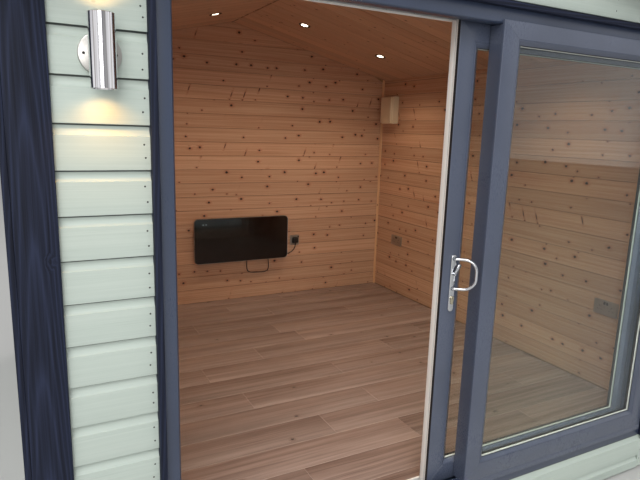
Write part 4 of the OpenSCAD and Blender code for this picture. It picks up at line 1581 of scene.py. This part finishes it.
        # The edge's front band, from y0 + 2 to 80.4, is drawn black with the gasket's material
        slots[(s < 0.2) & (y > y0 + 2) & (y < 80.4)] = 3
        leaf = Skin()
        self.ring(leaf, self.sliding, level, upright, slots=slots)
        self.unit_edge(leaf, self.sliding, y0)
        return leaf

    def build(self) -> None:
        """Makes the frame, then the two leaves, dark foil lightened by painted sheen outside and white
        inside.
        """
        self.frame()
        kinds = (self.finish.leaf_foil_painted_sheen, self.finish.white_plastic, self.finish.spacer, self.finish.gasket)
        radii = [0.5, 0.3, 0.3, 1.2, 1, 0.3, 0.3, 0.3, 0.3, 1, 3]
        self.fixed_leaf(radii).build("fixed_leaf", *kinds, replaces=("fixed_sash",), slot="door_profile")
        self.sliding_leaf(radii).build(
            "sliding_leaf", *kinds, body="sliding_door", replaces=("sliding_sash",), slot="door_profile"
        )


@dataclass
class DoorFurniture(Assembly):
    """The sliding leaf's handles, latch lever and key cylinder."""

    x: float = -71.0
    plate_z: float = 1082.0
    plate_thick: float = 9.0
    bow_z: float = 1119.0
    key_z: float = 1017.0
    face: float = 66.5
    back: float = 114.5
    bow: float = 6.0
    bow_height: float = 114.0
    slant: Point = (66 / 87.86, -58 / 87.86, 0)
    lean: float = 32.0

    def plate(self, skin: Skin, y: float, out: int) -> None:
        """Adds a long plate with round ends and its two screws.

        Args:
            skin: the piece to add it to.
            y: the depth of the leaf's face.
            out: -1 where the plate stands out to the front, or 1 where it stands out to the rear.
        """
        axes = Axes((self.x, y, self.plate_z))
        shape = box_outline(-13, 13, -111, 111, 12.9, 8)
        skin.tube(axes.pillow(shape, 0, out * self.plate_thick, 3.2))
        for z in (-101, 101):
            screw = axes.at(0, z, out * (self.plate_thick - 0.2), (0, out, 0))
            skin.sheet(screw.lathe([[0, 0], [3.2, 0], [3.2, 0.2], [2.4, 0.9], [0, 1.1]], 16))

    def pull(self, skin: Skin, y: float, way: Point, reach: float, radius: float) -> None:
        """Adds a D shaped pull, which swells at its two roots.

        Args:
            skin: the piece to add it to.
            y: the depth of the plate's face.
            way: the direction in which it stands out.
            reach: how far it stands out.
            radius: the radius of its two bends.
        """
        out, up = np.array(way, float), np.array(UP, float)
        start, rise = np.array([self.x, y, self.bow_z]), up * self.bow_height / 2
        corners = [start + rise, start + rise + out * reach, start - rise + out * reach, start - rise]
        path = rounded(corners, [0, radius, radius, 0], 14, closed=False)
        length = run_along(path)[-1]
        at = np.linspace(0, length, 90)
        near = np.minimum(at, length - at)
        size = self.bow + 2.4 * np.clip(1 - near / 9, 0, 1) ** 2
        skin.tube(sweep(resample(path, at), size, tuple(np.cross(out, up)), 20))

    def lever(self) -> Skin:
        """Makes the latch's paddle, which leans at rest, and its boss.

        Returns:
            Their skin.
        """
        turn, skin = math.radians(self.lean), Skin()
        along, across = (math.cos(turn), 0, -math.sin(turn)), (math.sin(turn), 0, math.cos(turn))
        blade = Axes((self.x, self.face - 15, self.bow_z), along, across)
        shape = rounded([[-4.5, -5], [4.5, -5], [6.4, 44], [-6.4, 44]], [3, 3, 6.2, 6.2], 6)
        skin.tube(blade.pillow(shape, 0, -6, 2.2))
        boss = Axes((self.x, self.face - self.plate_thick, self.bow_z))
        profile = [[0, 8], [6.8, 8], [6.9, -3], [6.2, -6], [5.8, -12.2], [4.6, -13], [0, -13]]
        return skin.sheet(boss.lathe(profile, 24))

    def cylinder(self) -> Skin:
        """Makes the key cylinder: a large round over a small one, with the plug and its keyway.

        Returns:
            Its skin.
        """
        skin = Skin()
        a, b = np.radians(np.linspace(-36, 216, 15)), np.radians(np.linspace(180, 360, 9))
        large = np.stack([8.5 * np.cos(a), 8 + 8.5 * np.sin(a)], 1)
        small = np.stack([5 * np.cos(b), -11.5 + 5 * np.sin(b)], 1)
        barrel = Axes((self.x, self.face - 0.5, self.key_z))
        skin.tube(barrel.pillow(np.concatenate([large, small]), 0, -13.2, 0.9))
        plug = Axes((self.x, self.face - 13.5, self.key_z + 8))
        skin.sheet(plug.lathe([[6.4, 1], [6.4, -0.1], [5.9, -0.45], [0, -0.5]], 24))
        return skin.tube(plug.pillow(box_outline(-1.1, 1.1, -4, 4, 0.8), 0.3, -0.5, 0.1), slots=1)

    def build(self) -> None:
        """Makes the outside and inside handles, the lever and the cylinder."""
        for side, face, out, way, reach, radius in (
            ("outside", self.face, -1, self.slant, 81.9, 44),
            ("inside", self.back, 1, REAR, 32, 20),
        ):
            handle = Skin()
            self.plate(handle, face, out)
            self.pull(handle, face + out * self.plate_thick, way, reach, radius)
            kept = dict(replaces=(side + "_handle",), slot="polished", sharp=45)
            handle.build(side + "_pull", self.finish.polished, body="sliding_door", **kept)
        kept = dict(replaces=("latch_lever",), slot="polished", sharp=45)
        self.lever().build("latch_paddle", self.finish.polished, body="latch", **kept)
        kept = dict(body="sliding_door", replaces=("key_cylinder",), slot="cylinder_brass")
        self.cylinder().build("key_barrel", self.finish.brass, self.finish.gasket, **kept)


@dataclass(frozen=True)
class Spot:
    """A fitting's lamp: its power in watts, colour, cone in degrees, the cone's soft share and its radius."""

    name: str
    power: float
    colour: Point
    cone: float
    blend: float
    radius: float

    def hang(self, place: Point, up: bool = False) -> None:
        """Hangs one at a place in the layout, where it shines down, or up.

        Args:
            place: the place in layout millimetres.
            up: True where it shines up.
        """
        data = bpy.data.lights.new(self.name, "SPOT")
        data.energy, data.color = self.power, self.colour
        data.spot_size, data.spot_blend = math.radians(self.cone), self.blend
        data.shadow_soft_size = self.radius
        lamp = bpy.data.objects.new(self.name, data)
        x, y, z = place
        lamp.location = (x / 1000, (y - LAYOUT_MIDDLE) / 1000, z / 1000)
        lamp.rotation_euler = (math.pi if up else 0, 0, 0)
        bpy.context.scene.collection.objects.link(lamp)


@dataclass
class WallLights(Assembly):
    """The steel up and down lights beside the door."""

    x: float = 1287.0
    z: float = 1797.0
    out: float = 58.0
    radius: float = 31.0
    wall: float = 2.5
    height: float = 170.0
    deep: float = 18.0
    plate: float = 50.5
    plate_z: float = 1795.5
    screw_x: float = 37.0
    glow: Spot = Spot("lamp_glow", 1.15, (1.0, 0.5, 0.13), 132, 0.85, 0.006)

    def rose(self, skin: Skin, x: float) -> None:
        """Adds a light's round plate, with its arm and two screws.

        Args:
            skin: the piece to add it to.
            x: the light's place across the building.
        """
        rose, p = Axes((x, 0, self.plate_z), inward=OUT), self.plate
        skin.sheet(rose.lathe([[0, 0], [p, 0], [p, 7.5], [p - 0.7, 9.3], [p - 2.4, 10], [0, 10]], 64))
        arm = Axes((x, 0, self.plate_z), OUT, RIGHT, UP)
        skin.tube(arm.bar(box_outline(-14, 14, -14, 14, 2), 9.5, 30.8, 0.6))
        profile = [[0, 0], [3.4, 0], [3.4, 0.5], [2.6, 1.8], [1.2, 2.2], [1.0, 1.4], [0, 1.4]]
        for s in (-self.screw_x, self.screw_x):
            skin.sheet(rose.at(s, 0, 9.9).lathe(profile, 20), slots=1)

    def barrel(self, skin: Skin, x: float) -> None:
        """Adds a light's tube, open at both ends, with a lens and a lamp deep in each.

        Args:
            skin: the piece to add it to.
            x: the light's place across the building.
        """
        h, r, w = self.height / 2, self.radius, self.wall
        lens, inner = h - self.deep, r - w
        half = [[0, -lens], [inner, -lens], [inner, 0.5 - h], [inner + 0.4, -h], [r - 0.7, -h], [r, 0.8 - h]]
        profile = np.array([*half, [r, 0], *[[a, -b] for a, b in half[::-1]]])
        tube = Axes((x, -self.out, self.z), RIGHT, OUT, UP)
        around = np.linspace(0, 2 * math.pi * r, 73)[:, None] * np.ones((1, len(profile)))
        chart = np.stack([around, np.broadcast_to(run_along(profile), around.shape)], -1)
        skin.sheet(tube.lathe(profile, 72), chart)
        for end in (-1, 1):
            d = end * lens
            dome = [[0, d - end], [26, d - end], [26, d + end * 0.6], [19, d + end * 2.6], [0, d + end * 3.6]]
            skin.sheet(tube.lathe(dome, 40), slots=1)
            self.glow.hang((x, -self.out, self.z + end * (lens + 6)), up=end > 0)

    def build(self) -> None:
        """Makes the two plates as one piece and the two tubes as another."""
        plates, tubes = Skin(), Skin()
        for x in (-self.x, self.x):
            self.rose(plates, x)
            self.barrel(tubes, x)
        kept = dict(replaces=("light_plates",), slot="light_steel")
        plates.build("light_roses", self.finish.brushed, self.finish.gasket, **kept)
        kept = dict(replaces=("light_tubes",), slot="light_steel", sharp=40)
        tubes.build("light_barrels", self.finish.tube_steel, self.finish.lens, **kept)


@dataclass
class Downlights(Assembly):
    """The lit downlights in the sloping ceiling."""

    pitch: float = 640.0
    rows: tuple[float, float] = (730.0, 2212.0)
    ridge: float = 2422.95
    beam: Spot = Spot("downlight_beam", 15.5, (1.0, 0.8, 0.58), 128, 1.0, 0.03)

    def build(self) -> None:
        """Makes eight bezels with their lenses, and hangs a lamp under each."""
        skin, size = Skin(), math.hypot(1, SLOPE)
        bezel = [[24, 0], [42, 0], [42, -1.2], [41, -2.8], [38.5, -3.9], [33, -3.6], [24, -0.8], [24, 0]]
        lens = [[0, 0], [24.1, 0], [24.1, -0.5], [16, -0.8], [0, -0.9]]
        for y in self.rows:
            for i in (-1.5, -0.5, 0.5, 1.5):
                x, fall = i * self.pitch, math.copysign(SLOPE, i)
                z = self.ridge - SLOPE * abs(x)
                axes = Axes((x, y, z), (1 / size, 0, -fall / size), REAR, (fall / size, 0, 1 / size))
                skin.sheet(axes.lathe(bezel, 40))
                skin.sheet(axes.lathe(lens, 32), slots=1)
                self.beam.hang((x, y, z - 12))
        kept = dict(replaces=("downlights",), slot="white_plastic")
        # The bezels wear the dark metal of painted shade
        skin.build("downlight_bezels", self.finish.bezel, self.finish.downlight, **kept)


@dataclass
class Heater(Assembly):
    """The black glass panel heater on its brackets."""

    x: float = 71.0
    y: float = 2768.0
    z: float = 730.0
    width: float = 806.0
    height: float = 365.0
    corner: float = 32.0
    rim: tuple = ((24, 2), (22, 0), (2.2, 0), (0.8, 0.8), (1.4, 2.6), (4, 3.0), (6, 3.0))
    inlet: tuple = (728, 752, 2792, 2816)
    marks: tuple = (72, 96)
    hooks: tuple = (-179, 321)
    hook_y: float = 2792.0
    hook_z: float = 810.0

    def build(self) -> None:
        """Makes the glass front in its metal rim, the case behind, the inlet and the brackets."""
        w, h = self.width / 2, self.height / 2
        axes, case, brackets = Axes((self.x, self.y, self.z)), Skin(), Skin()
        shape = box_outline(-w, w, -h, h, self.corner, 10)
        case.tube(axes.stack(shape, self.rim))
        case.tube(Axes().bar(box_outline(*self.inlet, 3), 30, 70, 1.5), slots=2)
        case.tube(axes.pillow(inset(shape, 2.8), 5, 0.2, 1.4), slots=1)
        for x in self.marks:
            dot = axes.at(x - w, h - 46, 0.25, OUT)
            case.sheet(dot.lathe([[0, -0.5], [3, -0.5], [3, 0.1], [0, 0.2]], 16), slots=3)
        kinds = (self.finish.rim, self.finish.heater_glass, self.finish.plug, self.finish.indicator)
        case.build("heater_case", *kinds, replaces=("heater_panel",), slot="heater_glass")
        for x in self.hooks:
            hook = Axes((x, self.hook_y, self.hook_z), REAR, RIGHT, UP)
            brackets.tube(hook.bar(box_outline(-15, 15, -40, 40, 3), 0.2, 29.8, 1))
        brackets.build("heater_hooks", self.finish.rim, replaces=("heater_brackets",), slot="heater_steel")


@dataclass
class HeaterLead(Assembly):
    """The heater's mains lead, from its plug to the inlet behind the glass.

    It goes down from the plug, up behind the glass, over a bracket and down into a loop below the heater.
    points holds X and Z along it. away holds its distances from the wall, the last of which lasts to the end.
    """

    wall: float = 2822.0
    diameter: float = 7.0
    plug_x: float = 561.0
    plug_z: float = 686.0
    away: tuple[float, ...] = (23, 23, 21, 18, 15)
    points: tuple[tuple[float, float], ...] = (
        *((561, 661), (561, 643), (556, 621), (539, 597), (513, 579), (481, 572), (450, 576), (420, 592)),
        *((396, 620), (378, 655), (366, 700), (359, 750), (355, 800), (353, 826), (349, 842), (337, 854)),
        *((321, 858), (305, 854), (293, 842), (289, 826), (289, 790), (294, 730), (300, 660), (306, 600)),
        *((311, 540), (315, 490), (313, 458), (296, 436), (264, 429), (215, 431), (168, 434), (138, 443)),
        *((122, 465), (119, 510), (122, 580), (126, 650), (126, 696), (115, 725), (92, 740), (70, 740)),
    )

    def route(self) -> Array:
        """Gives the lead's route.

        Returns:
            Its points, from the plug to the inlet.
        """
        x, z = np.array(self.points, float).T
        away = np.array(self.away)[np.minimum(np.arange(len(x)), len(self.away) - 1)]
        return np.stack([x, self.wall - away, z], 1)

    def sleeve(self, name: str, path: Array, length: float, large: float) -> bpy.types.Object:
        """Makes a tapered sleeve on the first part of a path, ribbed where it is thick.

        Args:
            name: the piece's name.
            path: the path.
            length: the sleeve's length.
            large: its radius at the start.

        Returns:
            The sleeve.
        """
        at = np.linspace(0, length, 40)
        ribs = 0.35 * (np.sin(at * 1.6) > 0.2) * (at < length * 0.8)
        size = np.interp(at, [0, length], [large, self.diameter / 2 + 0.4]) - ribs
        tube = Skin().tube(sweep(resample(path, at), size, REAR, 18))
        return tube.build(name, self.finish.rubber, slot="cord_rubber")

    def build(self) -> None:
        path = smooth_route(self.route(), 7.0)
        lead = Skin().tube(sweep(path, self.diameter / 2, REAR, 14))
        lead = lead.build("heater_lead", self.finish.rubber, replaces=("heater_cord",), slot="cord_rubber")
        sleeve = self.sleeve("lead_sleeve", path[::-1], 26, 6.2)
        tail = self.sleeve("plug_sleeve", path, 22, 5.6)
        axes = Axes((self.plug_x, self.wall - 8, self.plug_z))
        layers = [(0, 0), (-6, 0), (-8, 1.2), (-20, 2.2), (-26, 4), (-29, 7.5), (-30, 12)]
        plug = Skin().tube(axes.stack(box_outline(-25, 25, -25, 25, 8, 6), layers))
        kept = dict(replaces=("heater_plug",), slot="plug_plastic", sharp=50)
        plug = plug.build("heater_plug_top", self.finish.plug, **kept)
        metres = (path - [0, LAYOUT_MIDDLE, 0]) / 1000
        tuple(metres[-1])


@dataclass
class Electrics(Assembly):
    """The socket plates on the walls and the consumer unit.

    pins holds each pin slot's place from the gang's middle, its half width and its half height.
    """

    wall: float = 1412.0
    back: float = 2822.0
    height: float = 686.0
    plug_x: float = 561.0
    doubles: tuple[float, float] = (441.0, 2493.0)
    unit: tuple[float, float] = (2661.0, 1817.0)
    pins: tuple = ((0, 8, 2.2, 4.2), (-11, -12, 3.4, 2.2), (11, -12, 3.4, 2.2))

    def screw(self, skin: Skin, axes: Axes, radius: float, rise: float, sides: int, slot: int = 0) -> None:
        """Adds a low screw head that faces along the axes' inward way.

        Args:
            skin: the piece to add it to.
            axes: its place.
            radius: its radius.
            rise: the height of its rim, and half the height of its flat top.
            sides: the faces round it.
            slot: its material.
        """
        profile = [[0, -0.5], [radius, -0.5], [radius, rise], [radius - 1, rise * 2], [0, rise * 2 + 0.1]]
        skin.sheet(axes.lathe(profile, sides), slots=slot)

    def plate(self, skin: Skin, axes: Axes, width: float, gangs: tuple) -> None:
        """Adds a plate 86 mm high with a rocker and, where it is free, three pin slots for each gang.

        Args:
            skin: the piece to add it to.
            axes: the plate's middle on the wall, with d into the wall.
            width: the plate's width.
            gangs: for each gang, its middle, the rocker's place and whether the slots show.
        """
        w = width / 2
        skin.tube(axes.pillow(box_outline(-w, w, -43, 43, 5, 4), 0, -7.4, 2.0))
        for middle, rocker, free in gangs:
            shape = box_outline(rocker - 6, rocker + 6, 18, 35, 1.2)
            skin.tube(axes.pillow(shape, -7, -8, 0.6), slots=1)
            for s, t, a, b in self.pins if free else ():
                hole = box_outline(middle + s - a, middle + s + a, t - b, t + b, 0.6)
                skin.tube(axes.pillow(hole, -7, -7.6, 0.2), slots=1)
        out = tuple(-np.array(axes.inward, float))
        for s in (13 - w, w - 13):
            self.screw(skin, axes.at(s, 0, -7.2, out), 3, 0.3, 12)

    def build(self) -> None:
        """Makes the sockets and the consumer unit."""
        sockets, box = Skin(), Skin()
        self.plate(sockets, Axes((self.plug_x, self.back, self.height)), 86, ((0, 33, False),))
        for y in self.doubles:
            axes = Axes((self.wall, y, self.height), REAR, UP, RIGHT)
            self.plate(sockets, axes, 146, ((-36, -8, True), (36, 8, True)))
        kept = dict(replaces=("wall_sockets",), slot="socket_steel")
        sockets.build("socket_plates", self.finish.brushed, self.finish.plug, **kept)
        unit = Axes((self.wall, *self.unit), REAR, UP, RIGHT)
        box.tube(unit.pillow(box_outline(-84, 84, -115, 115, 4, 4), 0, -56, 3))
        box.tube(unit.pillow(box_outline(-78, 78, -109, 109, 5, 4), -55.5, -76.8, 5))
        box.tube(unit.pillow(box_outline(-52, 52, -34, 40, 4, 4), -76, -78, 1.4))
        for s, t in ((-66, 96), (66, 96), (-66, -96), (66, -96)):
            self.screw(box, unit.at(s, t, -76.6, LEFT), 3.4, 0.4, 14, slot=1)
        kept = dict(replaces=("consumer_unit",), slot="unit_plastic")
        box.build("consumer_unit_case", self.finish.unit, self.finish.brushed, **kept)


@dataclass
class Carcass(Assembly):
    """The construction that is already the right shape, which keeps its own nodes and only takes a finish."""

    along_x: tuple = ("floor_deck", "front_wall_gable", "back_wall")
    along_y: tuple = ("base_bearers", "left_wall", "right_wall")
    along_z: tuple = ("front_wall_left", "front_wall_right")

    def build(self, frame: dict) -> None:
        """Dresses each node.

        Args:
            frame: the loaded frame.
        """
        sawn = self.finish.sawn
        worn = {name: sawn[Grain.ALONG_X] for name in self.along_x}
        worn.update({name: sawn[Grain.ALONG_Y] for name in self.along_y})
        worn.update({name: sawn[Grain.ALONG_Z] for name in self.along_z})
        worn.update({name: self.finish.glass for name in ("fixed_glass", "sliding_glass")})
        worn.update({"roof_panels": self.finish.panel, "roof_membrane": self.finish.membrane})
        for name, material in worn.items():
            mesh = frame["nodes"][name].data
            mesh.materials.clear()
            mesh.materials.append(material)
            log.info("%s: dressed with %s", name, material.name)


def stand(name: str, data: bpy.types.ID, axes: tuple, place: Point) -> bpy.types.Object:
    """Stands a camera or a lamp in the scene.

    Args:
        name: its name.
        data: the camera's or the lamp's own data.
        axes: its three axes, the last pointing behind it.
        place: where it stands, in metres.

    Returns:
        The object.
    """
    turn = np.eye(4)
    turn[:3] = np.stack([*axes, place], 1)
    thing = bpy.data.objects.new(name, data)
    thing.matrix_world = Matrix(turn.tolist())
    bpy.context.scene.collection.objects.link(thing)
    return thing


@dataclass
class Studio:
    """The plain studio: the camera, the pale floor, the white surround and the soft lamps.

    place is in metres, yaw, pitch and roll in degrees, and focal in pixels of a picture 640 wide. mirrored is
    how strong gloss and glass show the surround, before and behind the pod and then at its sides.
    """

    place: Point = (-1.4576, -2.9180, 1.6331)
    yaw: float = 27.74
    pitch: float = -11.195
    roll: float = 1.748
    focal: float = 557.08
    sensor: float = 36.0
    floor_size: float = 60.0
    floor_drop: float = 0.0005
    horizon: float = 0.38
    zenith: float = 0.7
    mirrored: tuple[float, float] = (0.4, 1.0)

    def camera(self) -> None:
        """Stands the camera where the photograph was taken.

        Its forward axis is (sin yaw cos pitch, cos yaw cos pitch, sin pitch). The roll turns its other two
        axes about that one.
        """
        yaw, pitch, roll = (math.radians(v) for v in (self.yaw, self.pitch, self.roll))
        ahead = np.array([math.sin(yaw) * math.cos(pitch), math.cos(yaw) * math.cos(pitch), math.sin(pitch)])
        level = np.array([math.cos(yaw), -math.sin(yaw), 0.0])
        over = np.cross(level, ahead)
        right = math.cos(roll) * level + math.sin(roll) * over
        up = -math.sin(roll) * level + math.cos(roll) * over
        lens = bpy.data.cameras.new("camera")
        lens.sensor_width, lens.sensor_fit = self.sensor, "HORIZONTAL"
        lens.lens = self.sensor * self.focal / 640
        lens.clip_start = 0.05
        bpy.context.scene.camera = stand("camera", lens, (right, up, -ahead), self.place)

    def surround(self) -> None:
        """Makes the world: a soft sky, and a plain pale backdrop to the camera and in gloss and glass.

        The sky's strength is horizon + (zenith - horizon) times the sine of the height above the horizon. The
        backdrop in gloss and glass is dimmer before and behind the pod than at its two sides.
        """
        world = bpy.data.worlds.new("surround")
        bpy.context.scene.world = world
        world.use_nodes = True
        tree = world.node_tree
        tree.nodes.clear()
        path = add_node(tree, "LightPath").outputs
        way = add_node(tree, "SeparateXYZ", {0: add_node(tree, "TexCoord").outputs["Generated"]}).outputs
        sky = add_node(tree, "MapRange", {"Value": way[2], "To Min": self.horizon, "To Max": self.zenith})
        beside = add_node(tree, "Math", {0: way[0]}, operation="ABSOLUTE").outputs[0]
        low, high = self.mirrored
        seen = {"Value": beside, "From Min": 0.25, "From Max": 0.8, "To Min": low, "To Max": high}
        mirrored = add_node(tree, "MapRange", seen, interpolation_type="SMOOTHSTEP")
        rays = {0: path["Is Glossy Ray"], 1: path["Is Transmission Ray"]}
        gloss = add_node(tree, "Math", rays, operation="MAXIMUM")
        shown = add_node(tree, "Mix", {0: gloss.outputs[0], 2: sky.outputs[0], 3: mirrored.outputs[0]})
        level = add_node(tree, "Mix", {0: path["Is Camera Ray"], 2: shown.outputs[0], 3: 1.0})
        shade = add_node(tree, "Background", {"Strength": level.outputs[0]})
        tree.links.new(shade.outputs[0], add_node(tree, "OutputWorld").inputs["Surface"])

    def lamp(self, name: str, place: Point, aim: Point, size: float, power: float) -> None:
        """Hangs one square softbox.

        Args:
            name: the lamp's name.
            place: where it hangs.
            aim: the point that it faces.
            size: its width.
            power: its power in watts.
        """
        data = bpy.data.lights.new(name, "AREA")
        data.energy, data.size, data.color = power, size, (1.0, 0.99, 0.97)
        back = np.array(place, float) - np.array(aim, float)
        back /= np.linalg.norm(back)
        side = np.cross(np.array(UP, float), back)
        side /= np.linalg.norm(side)
        stand(name, data, (side, np.cross(back, side), back), place)

    def floor(self) -> None:
        """Lays the pale floor just under the pod."""
        half, drop = self.floor_size / 2, -self.floor_drop
        mesh = bpy.data.meshes.new("studio_floor")
        corners = [(x, y, drop) for x, y in ((-half, -half), (half, -half), (half, half), (-half, half))]
        mesh.from_pydata(corners, [], [(0, 1, 2, 3)])
        g = Graph("studio_floor")
        cloud = g.noise(g.place(Grain.ALONG_X, False), (0.8, 0.8, 0.8), 3)
        colour = g.mix(cloud, (0.6, 0.6, 0.595, 1), (0.64, 0.64, 0.635, 1))
        mesh.materials.append(g.surface({"Base Color": colour, "Roughness": 0.9}))
        floor = bpy.data.objects.new("studio_floor", mesh)
        bpy.context.scene.collection.objects.link(floor)

    def build(self) -> None:
        """Makes the camera, the surround, the lamps and the floor, and sets the plain view."""
        self.camera()
        self.surround()
        self.lamp("key", (-3.2, -5.6, 6.8), (-0.2, -1.4, 1.0), 4.0, 320)
        self.lamp("low", (-3.5, -8.5, 2.6), (0.2, 0.8, 0.9), 3.0, 125)
        self.lamp("rear", (3.0, 6.5, 5.5), (0, 1.4, 1.2), 3.5, 120)
        self.floor()
        bpy.context.scene.view_settings.view_transform = "Standard"


def main() -> None:
    """Loads the frame, sets the studio, then makes the lead and each part of the pod in order."""
    logging.basicConfig(level=logging.INFO, format="%(name)s %(message)s")
    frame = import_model()
    Studio().build()
    finish = Finish()
    HeaterLead(finish).build()
    kinds = (Cladding, DarkTrim, PineRoom, LaminateFloor, Doorway, DoorFurniture, WallLights, Downlights)
    for kind in (*kinds, Heater, Electrics):
        log.info("making %s", kind.__name__)
        kind(finish).build()
    Carcass(finish).build(frame)


if __name__ == "__main__":
    main()
